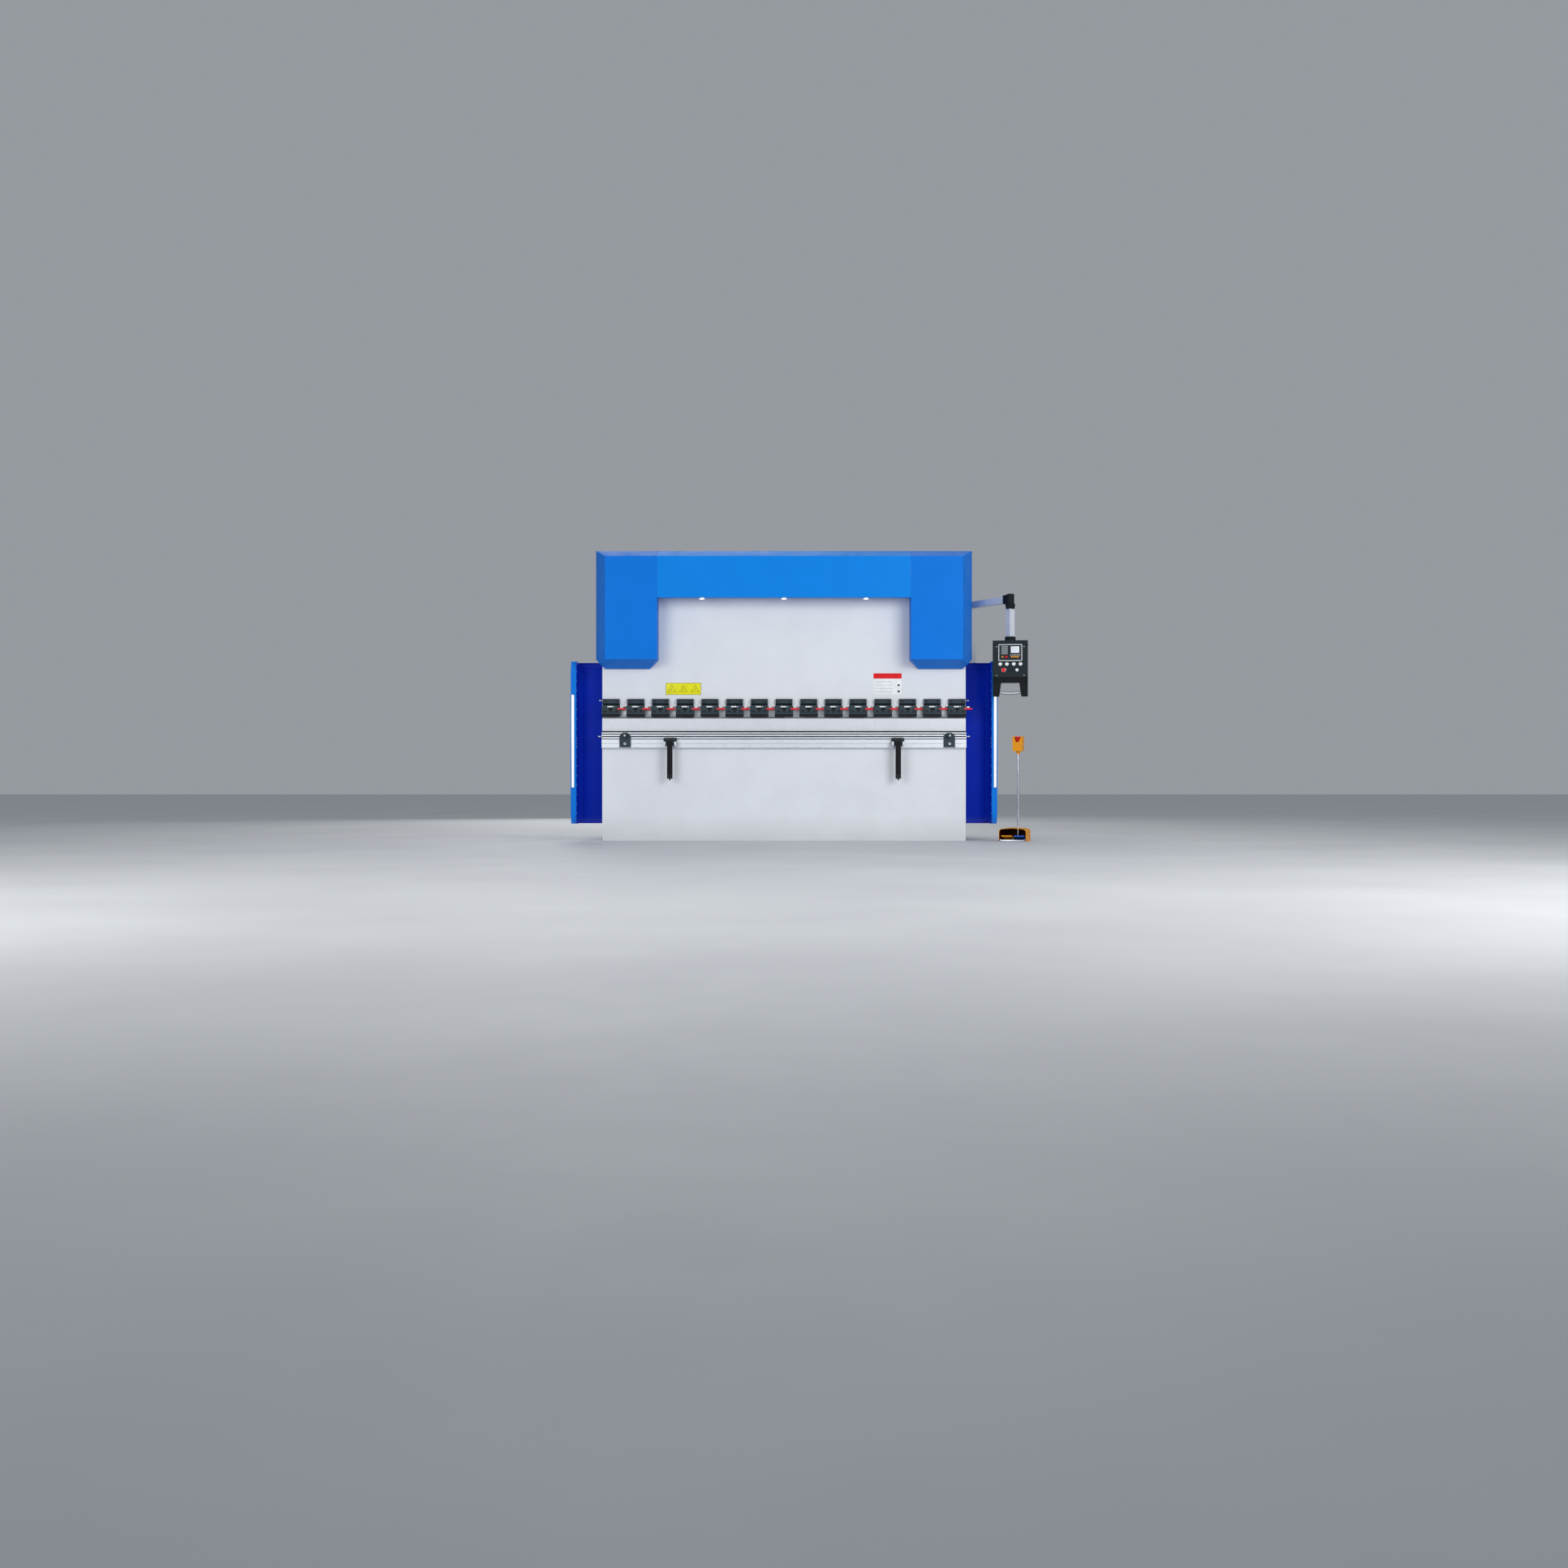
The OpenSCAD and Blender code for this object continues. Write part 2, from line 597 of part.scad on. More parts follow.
// ---- side guards --------------------------------------------------------------
module guard_right() color(cover_blue) {
    z0 = guard_z;
    z1 = guard_z + guard_h;
    b = 98;                // height of the sloped flange ends
    difference() {
        union() {
            // back panel and outer panel
            box([guard_x0, guard_back_y, z0], [guard_x1, guard_back_y + guard_t, z1]);
            box([guard_x1 - guard_t, guard_front_y, z0], [guard_x1, guard_back_y + guard_t, z1]);
            // front flange with sloped ends
            along_x(guard_x1, guard_x1 + flange_w) polygon([[guard_front_y, z0 + b],
                [guard_front_y, z1 - b], [guard_front_y + flange_d, z1], [guard_front_y + flange_d, z0]]);
            // lower and upper return of the back panel
            for (z = [z0, z1 - guard_t])
                box([guard_x0, guard_back_y - 22, z], [guard_x1, guard_back_y, z + guard_t]);
            for (z = hinge_zs) translate([guard_hinge_x, pivot_y, z]) {
                cylinder(h = hinge_h, r = hinge_r);
                box([0, -6, 0], [40, 6, hinge_h]);
                box([28, guard_back_y + guard_t - pivot_y - CUT, 0], [40, 6, hinge_h]);
            }
        }
        for (z = hinge_zs) translate([guard_hinge_x, pivot_y, z - CUT])
            cylinder(h = hinge_h + 2 * CUT, r = hinge_pin_r + running);
    }
}
module guard_left() mirror([1, 0, 0]) guard_right();
module guard_posts() color(navy) both_sides() {
    px = guard_hinge_x - 44;
    py = pivot_y + 30;
    z0 = guard_z - 10;
    z1 = guard_z + guard_h;
    ear = 12;
    translate([px, py, z0]) post(post_w, z1 - z0, 4);
    // arms to the side frame
    for (z = [z0 + 60, z1 - 100]) box([frame_out, py - 15, z], [px - post_w / 2, py + 15, z + 60]);
    for (z = hinge_zs) {
        for (e = [z - ear - GAP, z + hinge_h + GAP])
            box([px + post_w / 2, pivot_y - 12, e], [guard_hinge_x + 12, pivot_y + 12, e + ear]);
        translate([guard_hinge_x, pivot_y, z - GAP]) cylinder(h = hinge_h + 2 * GAP, r = hinge_pin_r);
    }
}

// ---- electrical cabinet --------------------------------------------------------
module cabinet_body() color("lightgray") {
    y1 = cab_y + cab_d;
    difference() {
        box([frame_out, cab_y, cab_z], [door_x, y1, cab_z + cab_h]);
        box([frame_out + cab_t, cab_y + cab_t, cab_z + cab_t], [door_x + CUT, y1 - cab_t, cab_z + cab_h - cab_t]);
        translate([frame_out + 130, cab_y + 300, cab_z - CUT]) cylinder(h = 2 * cab_t + 2 * CUT, r = 16);
    }
    // mounting plate with drives
    box([frame_out + cab_t, cab_y + 30, cab_z + 40], [frame_out + cab_t + 3, y1 - 30, cab_z + cab_h - 40]);
    for (k = [0:2]) box([frame_out + cab_t + 3, cab_y + 60 + k * 165, cab_z + 700],
        [frame_out + 160, cab_y + 190 + k * 165, cab_z + 1020]);
    box([frame_out + cab_t + 3, cab_y + 60, cab_z + 200], [frame_out + 110, cab_y + 520, cab_z + 480]);
    // cable gland in the floor
    difference() {
        translate([frame_out + 130, cab_y + 300, cab_z - 30]) cylinder(h = 30, r = 26);
        translate([frame_out + 130, cab_y + 300, cab_z - 31]) cylinder(h = 32, r = 16);
    }
    // hinge pins
    for (z = [cab_z + 120, cab_z + cab_h - 180]) {
        translate([door_x + door_t / 2 + GAP, y1 + 12, z - 10]) cylinder(h = 80, r = 4);
        box([door_x - 40, y1, z - 12], [door_x - 10, y1 + 20, z - GAP]);
        box([door_x - 40, y1 + 4, z - 12], [door_x + door_t / 2 + GAP + 8, y1 + 20, z - GAP]);
    }
}
module cabinet_door() color("lightgray") {
    y1 = cab_y + cab_d;
    x0 = door_x + GAP;
    difference() {
        union() {
            box([x0, cab_y, cab_z], [x0 + door_t, y1, cab_z + cab_h]);
            for (z = [cab_z + 120, cab_z + cab_h - 180]) {
                translate([x0 + door_t / 2, y1 + 12, z]) cylinder(h = 60, r = 8);
                box([x0 + 2, y1 - CUT, z], [x0 + door_t - 2, y1 + 12, z + 60]);
            }
            // latch plate
            box([x0 + door_t, cab_y + 30, cab_z + 540], [x0 + door_t + 8, cab_y + 56, cab_z + 640]);
        }
        box([x0 - CUT, cab_y + 20, cab_z + 20], [x0 + door_t - 2, y1 - 20, cab_z + cab_h - 20]);
        for (z = [cab_z + 120, cab_z + cab_h - 180])
            translate([x0 + door_t / 2, y1 + 12, z - CUT]) cylinder(h = 60 + 2 * CUT, r = 4 + running);
    }
}

// ---- pendant --------------------------------------------------------------------
module pendant_post() color(slate) {
    h = 76;
    // bracket plates above and below the arm's hub
    for (z = [arm_z - h / 2 - 14 - GAP, arm_z + h / 2 + GAP])
        box([frame_out + 10, arm_py - 45, z], [arm_px + 40, arm_py + 45, z + 14]);
    box([frame_out, arm_py - 60, arm_z - 90], [frame_out + 10, arm_py + 60, arm_z + 90]);
    translate([arm_px, arm_py, arm_z - h / 2 - GAP]) cylinder(h = h + 2 * GAP, r = arm_pin_r);
}
module pendant_arm() {
    h = 76;
    hub = 44;
    w = arm_w / 2;
    // hub on the pivot and the tube to the elbow
    color(alu) translate([arm_px, arm_py, arm_z]) rotate([0, 0, arm_dir]) difference() {
        union() {
            translate([0, 0, -h / 2]) cylinder(h = h, r = hub);
            box([0, -w, -w], [arm_len - 60, w, w]);
        }
        translate([0, 0, -h / 2 - CUT]) cylinder(h = h + 2 * CUT, r = arm_pin_r + running);
    }
    // elbow
    color(slate) translate([elbow_x, elbow_y, arm_z]) rotate([0, 0, arm_dir]) {
        box([-60, -w - 6, -h / 2], [0, w + 6, h / 2]);
        translate([0, 0, -h / 2 - 4]) cylinder(h = h + 8, r = w + 6);
    }
    // drop tube with its swivel spigot
    color(alu) translate([elbow_x, elbow_y, case_top + coupling_h]) rotate([0, 0, arm_dir]) {
        box([-27, -27, 0], [27, 27, arm_z - h / 2 - 4 - case_top - coupling_h]);
        translate([0, 0, -swivel_l]) cylinder(h = swivel_l, r = swivel_r);
    }
}
module on_case() translate([elbow_x, elbow_y, 0]) rotate([0, 0, case_yaw]) children();
module pendant_case() color(slate) on_case() {
    w = case_w / 2;
    yb = case_front + case_d;
    leg_w = 57;
    leg_z = case_z - 117;
    band = 44;
    difference() {
        union() {
            // main case with sloped top and bottom edges of its front
            along_x(-w, w) polygon([[case_front, case_z + band], [case_front, case_top - 38],
                [case_front + 16, case_top], [yb - 16, case_top], [yb, case_top - 30],
                [yb, case_z + 20], [yb - 12, case_z], [case_front + 12, case_z],
                [case_front + 6, case_z + band]]);
            // swivel collar
            translate([0, 0, case_top - CUT]) cylinder(h = coupling_h - GAP + CUT, r = 46);
        }
        translate([0, 0, case_top + coupling_h - swivel_l - 10])
            cylinder(h = swivel_l + 10 + CUT, r = swivel_r + running);
        for (x = [-86, -29, 29, 86]) translate([x, 0, case_z + 158]) button_hole();
        translate([57, 0, case_z + 107]) button_hole();
        translate([-57, 0, case_z + 107]) button_hole();
    }
    // legs and the grip between them
    both_sides() along_y(case_front + 14, yb - 30)
        polygon([[w - leg_w, leg_z], [w, leg_z], [w, case_z + CUT], [w - leg_w - 16, case_z + CUT], [w - leg_w - 16, case_z]]);
    translate([0, case_front + 40, leg_z + 29]) rod_x(-w + leg_w - 1, w - leg_w + 1, 5);
}
button_depth = 14;
button_stem_r = 8;
module button_hole() rod_y(case_front - CUT, case_front + button_depth + 2, button_stem_r + running);
module push_button(d) {
    travel = 4;
    rod_y(case_front - travel - 6, case_front - travel - GAP, d / 2);
    rod_y(case_front - travel - 6, case_front + button_depth - travel, button_stem_r);
}
module pendant_buttons() color("white") on_case() {
    for (x = [-86, -29, 29, 86]) translate([x, 0, case_z + 158]) push_button(27);
    translate([57, 0, case_z + 107]) push_button(24);
}
module pendant_stop_button() color("red") on_case() translate([-57, 0, case_z + 107]) {
    push_button(33);
    rod_y(case_front - 18, case_front - 10, 16.5);
}

// ---- foot station -----------------------------------------------------------------
module at_station() translate([station_x, station_y, 0]) rotate([0, 0, station_yaw]) children();
module arch(w, h) {
    crown = 12;
    corner = 14;
    r = (w * w / 4 + crown * crown) / (2 * crown);
    intersection() {
        polygon([[-w / 2, 0], [w / 2, 0], [w / 2, h - crown - corner], [w / 2 - corner, h - crown / 2],
            [w / 2 - corner, h], [-w / 2 + corner, h], [-w / 2 + corner, h - crown / 2],
            [-w / 2, h - crown - corner]]);
        translate([0, h - r]) circle(r = r, $fn = 96);
    }
}
post_y = 68;
post_x = 18;
pedal_y = 40;              // pedal hinge line
pedal_z = 22;
module station_case() at_station() {
    w = station_w / 2;
    d = station_d / 2;
    r = station_post_d / 2;
    color(amber) difference() {
        translate([0, 0, 5]) along_y(-d, d) arch(station_w, station_h - 5);
        translate([0, 0, 5 - CUT]) along_y(-d - CUT, d - 3) arch(station_w - 8, station_h - 9 + CUT);
        translate([post_x, post_y, 0]) cylinder(h = station_h + CUT, r = r);
    }
    color(steel) box([-w, -d - 8, 0], [w, d, 5]);
    // pedal hinge pin in its blocks
    color(slate) {
        for (x = [-w + 4, -6, w - 16]) box([x, pedal_y - 10, 5], [x + 12, pedal_y + 10, pedal_z + 8]);
        for (s = [-1, 1]) translate([0, pedal_y, pedal_z])
            rod_x(s < 0 ? -w + 16 : 6, s < 0 ? -6 : w - 16, 4);
        // dividing web with its ball
        box([-5, -70, 5], [5, pedal_y - 10, 24]);
        translate([0, -76, 22]) sphere(r = 10);
    }
    color(steel) translate([post_x, post_y, 5]) cylinder(h = station_post_h - 5, r = r);
    // stop switch box, open at its top and front
    color(amber) translate([post_x, post_y, station_post_h]) {
        cylinder(h = 26, r = 16);
        difference() {
            along_y(-40, 40) polygon([[-stop_w / 2 + 4, 25], [stop_w / 2 - 4, 25], [stop_w / 2, stop_h],
                [-stop_w / 2, stop_h]]);
            box([-stop_w / 2 + 7, -36, stop_floor], [stop_w / 2 - 7, 36, stop_h + CUT]);
            along_y(-40 - CUT, -30) polygon([[-12, stop_floor], [12, stop_floor], [32, stop_h + CUT],
                [-32, stop_h + CUT]]);
            translate([0, 0, stop_floor - 20]) cylinder(h = 21, r = stop_stem_r + running);
        }
    }
}
stop_w = 90;
stop_h = 154;
stop_floor = 105;
stop_stem_r = 8;
module station_stop_button() color("red") at_station()
    translate([post_x, post_y, station_post_h + stop_floor]) {
        translate([0, 0, -9]) cylinder(h = 20, r = stop_stem_r);
        translate([0, 0, 10]) cylinder(h = 28, r = 17);
        translate([0, 0, 37]) cylinder(h = 11, r = 24);
    }
module station_pedal(s) at_station() translate([s * (station_w / 4 - 5), pedal_y, pedal_z]) {
    w = station_w / 4 - 14;
    tilt = -12;
    difference() {
        union() {
            rotate([tilt, 0, 0]) box([-w, -120, -3], [w, 0, 6]);
            rod_x(-w - 1, w + 1, 8);
        }
        rod_x(-w - 1 - CUT, w + 1 + CUT, 4 + running);
    }
}
module station_pedal_left() color(amber) station_pedal(-1);
module station_pedal_right() color("royalblue") station_pedal(1);

// ---- back gauge ---------------------------------------------------------------------
guide_l = 720;
module gauge_guides() color(steel) both_sides() {
    // bracket on the back of the bed, with the guide rail on it
    along_x(guide_x - 12, guide_x + 12) polygon([[bed_front, guide_z - 20], [bed_front + guide_l, guide_z - 20],
        [bed_front + guide_l, guide_z - 90], [bed_front + 120, guide_z - 420], [bed_front, guide_z - 420]]);
    box([guide_x - 30, bed_front, guide_z - 20], [guide_x + 30, bed_front + guide_l, guide_z]);
    box([guide_x - 10, bed_front + 60, guide_z], [guide_x + 10, bed_front + guide_l - 10, guide_z + 15]);
}
module gauge_beam() color(alu) {
    y1 = gauge_y + gauge_d;
    wall = 6;
    difference() {
        box([-gauge_len / 2, gauge_y, gauge_z], [gauge_len / 2, y1, gauge_z + gauge_h]);
        box([-gauge_len / 2 - CUT, gauge_y + wall, gauge_z + wall],
            [gauge_len / 2 + CUT, y1 - wall, gauge_z + gauge_h - wall]);
    }
    // carriages that ride on the guide rails
    both_sides() difference() {
        box([guide_x - 28, gauge_y, guide_z + 4], [guide_x + 28, y1, gauge_z]);
        box([guide_x - 10 - GAP, gauge_y - CUT, guide_z], [guide_x + 10 + GAP, y1 + CUT, guide_z + 15 + GAP]);
    }
}
module gauge_finger(x) {
    y1 = gauge_y + gauge_d;
    z = gauge_z + gauge_h + GAP;
    tip_y = bed_front + 10;
    color("gold") {
        box([x - 32, gauge_y - 30, z], [x + 32, y1, z + 50]);
        box([x - 32, gauge_y - 30, die_top + 8], [x + 32, gauge_y - GAP, z]);
        box([x - 12, tip_y + 30, die_top + 8], [x + 12, gauge_y - 30, die_top + 33]);
    }
    color(steel) box([x - 12, tip_y, die_top + 8], [x + 12, tip_y + 30, die_top + 27]);
}
module gauge_finger_left() gauge_finger(-finger_x);
module gauge_finger_right() gauge_finger(finger_x);

side_frame_left();
side_frame_right();
bed_plate();
anchor_pads();
rear_tie_beams();
oil_tank();
pump_motor();
valve_blocks();
cylinder_barrels();
hoods();
front_fascia();
work_lamps();
guide_rails();
front_rail();
lower_die();
gauge_guides();
cabinet_body();
pendant_post();
guard_posts();
rail_stops();
ram();
piston_rods();
guide_shoes();
clamp_adapters();
clamp_jaws();
clamp_bolts();
punches();
guard_left();
guard_right();
support_slide_left();
support_slide_right();
support_arm_left();
support_arm_right();
pendant_arm();
pendant_case();
pendant_buttons();
pendant_stop_button();
station_case();
station_pedal_left();
station_pedal_right();
station_stop_button();
gauge_beam();
gauge_finger_left();
gauge_finger_right();
cabinet_door();
for (i = [1:clamp_count]) clamp_lever(i);
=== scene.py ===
"""Looks of a hydraulic press brake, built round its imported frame. All lengths are in metres."""
import logging
import math
from dataclasses import dataclass
from enum import Enum
from typing import Callable, Optional, Sequence

import bmesh
import bpy
from mathutils import Matrix, Vector


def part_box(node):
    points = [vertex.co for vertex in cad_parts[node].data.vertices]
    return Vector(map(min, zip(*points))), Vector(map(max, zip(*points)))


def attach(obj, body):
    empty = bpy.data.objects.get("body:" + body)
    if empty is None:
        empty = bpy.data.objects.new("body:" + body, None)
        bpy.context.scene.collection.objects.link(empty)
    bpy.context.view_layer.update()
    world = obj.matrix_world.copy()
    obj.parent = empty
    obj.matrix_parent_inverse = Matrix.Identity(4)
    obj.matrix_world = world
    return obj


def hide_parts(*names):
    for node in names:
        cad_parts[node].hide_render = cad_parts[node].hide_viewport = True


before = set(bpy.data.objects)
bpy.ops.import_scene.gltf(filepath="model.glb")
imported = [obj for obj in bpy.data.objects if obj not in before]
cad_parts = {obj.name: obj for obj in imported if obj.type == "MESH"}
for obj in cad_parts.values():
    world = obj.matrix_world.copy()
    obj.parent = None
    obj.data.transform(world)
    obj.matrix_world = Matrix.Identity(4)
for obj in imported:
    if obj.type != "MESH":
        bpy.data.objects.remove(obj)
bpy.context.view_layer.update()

log = logging.getLogger("press_brake")
Point = Sequence[float]
Colour = tuple[float, float, float]
Socket = bpy.types.NodeSocket
SIDES = ((1, "right"), (-1, "left"))
SINK = 0.0002  # how far a thin piece sinks into the face behind it
PLATE_END = 1.6005  # only the pins of the ram and the rail lie beyond this


class Axis(Enum):
    """A main direction of the machine."""

    X = 0
    Y = 1
    Z = 2


def srgb(red: int, green: int, blue: int) -> Colour:
    """Turn a screen colour into the linear colour that shaders use.

    Args:
        red: Red from 0 to 255.
        green: Green from 0 to 255.
        blue: Blue from 0 to 255.

    Returns:
        The linear colour.
    """
    parts = (v / 255 for v in (red, green, blue))
    return tuple(v / 12.92 if v <= 0.04045 else ((v + 0.055) / 1.055) ** 2.4 for v in parts)


def shade(colour: Colour, factor: float) -> Colour:
    """A lighter or darker version of a colour."""
    return tuple(min(1.0, c * factor) for c in colour)


DUST = srgb(150, 146, 138)


# ---- finishes -----------------------------------------------------------------------
class Graph:
    """A material's node tree while it is put together."""

    def __init__(self, name: str) -> None:
        """Start a material that has only its shader.

        Args:
            name: The material's name.
        """
        self.material = bpy.data.materials.new(name)
        self.material.use_nodes = True
        self.tree = self.material.node_tree
        self.shader = self.tree.nodes["Principled BSDF"]
        self.place = self.add("ShaderNodeTexCoord").outputs["Object"]

    def add(self, kind: str, **values: object) -> bpy.types.Node:
        """Add a node and set its own properties.

        Args:
            kind: The node's type.
            values: Properties of the node.

        Returns:
            The new node.
        """
        node = self.tree.nodes.new(kind)
        for key, value in values.items():
            setattr(node, key, value)
        return node

    def link(self, source: Socket, target: Socket) -> None:
        """Connect two sockets."""
        self.tree.links.new(source, target)

    def set(self, **values: object) -> None:
        """Set shader sockets by name, with spaces written as underscores."""
        for key, value in values.items():
            self.shader.inputs[key.replace("_", " ")].default_value = value

    def noise(self, scale: float, detail: float = 3.0, stretch: Point = (1, 1, 1)) -> Socket:
        """Add a noise pattern that is fixed to the piece.

        Args:
            scale: Waves per metre.
            detail: How many finer layers it has.
            stretch: Scale along each axis, for brushed or streaked patterns.

        Returns:
            The pattern's value.
        """
        mapping = self.add("ShaderNodeMapping")
        mapping.inputs["Scale"].default_value = stretch
        self.link(self.place, mapping.inputs["Vector"])
        node = self.add("ShaderNodeTexNoise")
        node.inputs["Scale"].default_value = scale
        node.inputs["Detail"].default_value = detail
        self.link(mapping.outputs["Vector"], node.inputs["Vector"])
        return node.outputs["Fac"]

    def span(self, value: Socket, low: float, high: float,
             start: float = 0.3, end: float = 0.7) -> Socket:
        """Map a value from start..end to low..high.

        Args:
            value: The value to map.
            low: Result at start.
            high: Result at end.
            start: Lower end of the input.
            end: Upper end of the input.

        Returns:
            The mapped value, clamped.
        """
        node = self.add("ShaderNodeMapRange")
        self.link(value, node.inputs["Value"])
        for key, number in (("From Min", start), ("From Max", end), ("To Min", low), ("To Max", high)):
            node.inputs[key].default_value = number
        return node.outputs["Result"]

    def blend(self, factor: Socket, first: object, second: object) -> Socket:
        """Mix two colours.

        Args:
            factor: 0 for the first colour, 1 for the second.
            first: A colour or a colour socket.
            second: A colour or a colour socket.

        Returns:
            The mixed colour.
        """
        node = self.add("ShaderNodeMix", data_type="RGBA")
        self.link(factor, node.inputs[0])
        for value, target in ((first, node.inputs[6]), (second, node.inputs[7])):
            if isinstance(value, Socket):
                self.link(value, target)
            else:
                target.default_value = (*value, 1.0)
        return node.outputs[2]

    def mottle(self, scale: float, colour: Colour, dark: float, light: float) -> Socket:
        """Mix a darker and a lighter shade of a colour in soft patches."""
        patches = self.span(self.noise(scale, 5), 0, 1)
        return self.blend(patches, shade(colour, dark), shade(colour, light))

    def bump(self, height: Socket, strength: float, depth: float,
             under: Optional[Socket] = None) -> Socket:
        """Add relief.

        Args:
            height: Height pattern.
            strength: How strongly it shows.
            depth: Depth in metres.
            under: A normal that this relief lies on.

        Returns:
            The new normal.
        """
        node = self.add("ShaderNodeBump")
        node.inputs["Strength"].default_value = strength
        node.inputs["Distance"].default_value = depth
        self.link(height, node.inputs["Height"])
        if under is not None:
            self.link(under, node.inputs["Normal"])
        return node.outputs["Normal"]

    def edges(self, radius: float) -> Socket:
        """A mask that is 1 along sharp edges, broken up by noise.

        Args:
            radius: Width of the edge band in metres.

        Returns:
            The mask.
        """
        rounded = self.add("ShaderNodeBevel", samples=4)
        rounded.inputs["Radius"].default_value = radius
        geometry = self.add("ShaderNodeNewGeometry")
        dot = self.add("ShaderNodeVectorMath", operation="DOT_PRODUCT")
        self.link(rounded.outputs["Normal"], dot.inputs[0])
        self.link(geometry.outputs["Normal"], dot.inputs[1])
        band = self.span(dot.outputs["Value"], 1.0, 0.0, 0.80, 0.99)
        broken = self.add("ShaderNodeMath", operation="MULTIPLY")
        self.link(band, broken.inputs[0])
        self.link(self.span(self.noise(90, 5), 0.0, 1.0, 0.42, 0.62), broken.inputs[1])
        return broken.outputs["Value"]

    def height_band(self, low: float, high: float) -> Socket:
        """A mask that falls from 1 at height low to 0 at height high."""
        parts = self.add("ShaderNodeSeparateXYZ")
        self.link(self.place, parts.inputs["Vector"])
        return self.span(parts.outputs["Z"], 1.0, 0.0, low, high)

    def done(self, colour: Socket, rough: Socket,
             normal: Socket) -> bpy.types.Material:
        """Connect the finished patterns to the shader and return the material."""
        self.link(colour, self.shader.inputs["Base Color"])
        self.link(rough, self.shader.inputs["Roughness"])
        self.link(normal, self.shader.inputs["Normal"])
        return self.material


@dataclass(frozen=True)
class PowderCoat:
    """Baked paint with fine orange peel, faint mottling, edges tinted as wear and painted highlight,
    and dust low down.
    """

    name: str
    slot: str
    colour: Colour
    rough: float = 0.40
    peel: float = 0.10
    edge_rub_and_highlight: float = 0.35
    edge_rubbed_and_lit_colour: Optional[Colour] = None
    sheen: float = 0.30
    dust: float = 0.28

    def material(self) -> bpy.types.Material:
        """Build the material."""
        g = Graph(self.name)
        mottled = g.mottle(3.5, self.colour, 0.94, 1.05)
        grained = g.blend(g.span(g.noise(700, 2), 0, 1), mottled, shade(self.colour, 0.97))
        low_down = g.span(g.height_band(0.0, 0.22), 0, self.dust, 0, 1)
        dusty = g.blend(low_down, grained, DUST)
        # Edge tint along sharp edges: partly wear, partly painted highlight.
        edge_rubbed_and_lit_colour = self.edge_rubbed_and_lit_colour or shade(self.colour, 1.6)
        colour = g.blend(g.span(g.edges(0.0022), 0, self.edge_rub_and_highlight, 0, 1), dusty, edge_rubbed_and_lit_colour)
        rough = g.span(g.noise(9, 4), self.rough - 0.06, self.rough + 0.08)
        peel = g.bump(g.noise(420, 2), self.peel, 0.0006)
        waves = g.bump(g.noise(2.2, 1), 0.04, 0.01, peel)
        g.set(Specular_IOR_Level=self.sheen)
        return g.done(colour, rough, waves)


@dataclass(frozen=True)
class BrushedMetal:
    """Ground or drawn metal with fine lines along one direction."""

    name: str
    slot: str
    colour: Colour
    rough: float = 0.32
    along: Axis = Axis.X
    lines: float = 0.12
    stain: float = 0.12
    metal: float = 1.0

    def material(self) -> bpy.types.Material:
        """Build the material."""
        g = Graph(self.name)
        stretch = [1.0, 1.0, 1.0]
        stretch[self.along.value] = 0.02
        lines = g.noise(900, 3, stretch)
        tone = g.blend(g.span(lines, 0, 1), shade(self.colour, 0.86), shade(self.colour, 1.06))
        stained = g.blend(g.span(g.noise(6, 6), 0, self.stain, 0.5, 0.8), tone, shade(self.colour, 0.5))
        # Lighter edges: partly wear, partly painted highlight.
        colour = g.blend(g.span(g.edges(0.0012), 0, 0.5, 0, 1), stained, shade(self.colour, 1.3))
        rough = g.span(lines, self.rough - 0.07, self.rough + 0.12)
        g.set(Metallic=self.metal, Anisotropic=0.35)
        return g.done(colour, rough, g.bump(lines, self.lines, 0.0003))


@dataclass(frozen=True)
class Moulded:
    """Moulded plastic or rubber with a fine grain and lightened edges, partly rubbed wear and partly
    painted highlight.
    """

    name: str
    slot: str
    colour: Colour
    rough: float = 0.5
    grain: float = 0.15
    glow: float = 0.0
    sheen: float = 0.25

    def material(self) -> bpy.types.Material:
        """Build the material."""
        g = Graph(self.name)
        mottled = g.mottle(25, self.colour, 0.92, 1.08)
        # Lighter edges: partly rubbed wear, partly painted highlight.
        colour = g.blend(g.span(g.edges(0.0008), 0, 0.3, 0, 1), mottled, shade(self.colour, 1.8))
        rough = g.span(g.noise(60, 3), self.rough - 0.06, self.rough + 0.08)
        g.set(Specular_IOR_Level=self.sheen)
        if self.glow:
            g.set(Emission_Color=(*self.colour, 1.0), Emission_Strength=self.glow)
        return g.done(colour, rough, g.bump(g.noise(1300, 2), self.grain, 0.0003))


NAVY = PowderCoat("frame_paint", "frame_paint", srgb(8, 48, 150), edge_rubbed_and_lit_colour=srgb(60, 100, 190))
COVER = PowderCoat(
    "cover_paint", "cover_paint", srgb(0, 120, 224), 0.46, edge_rubbed_and_lit_colour=srgb(60, 160, 240), sheen=0.12)
# The cover paint made lighter for the fascia: painted light.
FASCIA_PAINTED_LIGHT = PowderCoat(
    "fascia_painted_light", "cover_paint", srgb(0, 134, 232), 0.46, edge_rubbed_and_lit_colour=srgb(60, 165, 240), sheen=0.12)
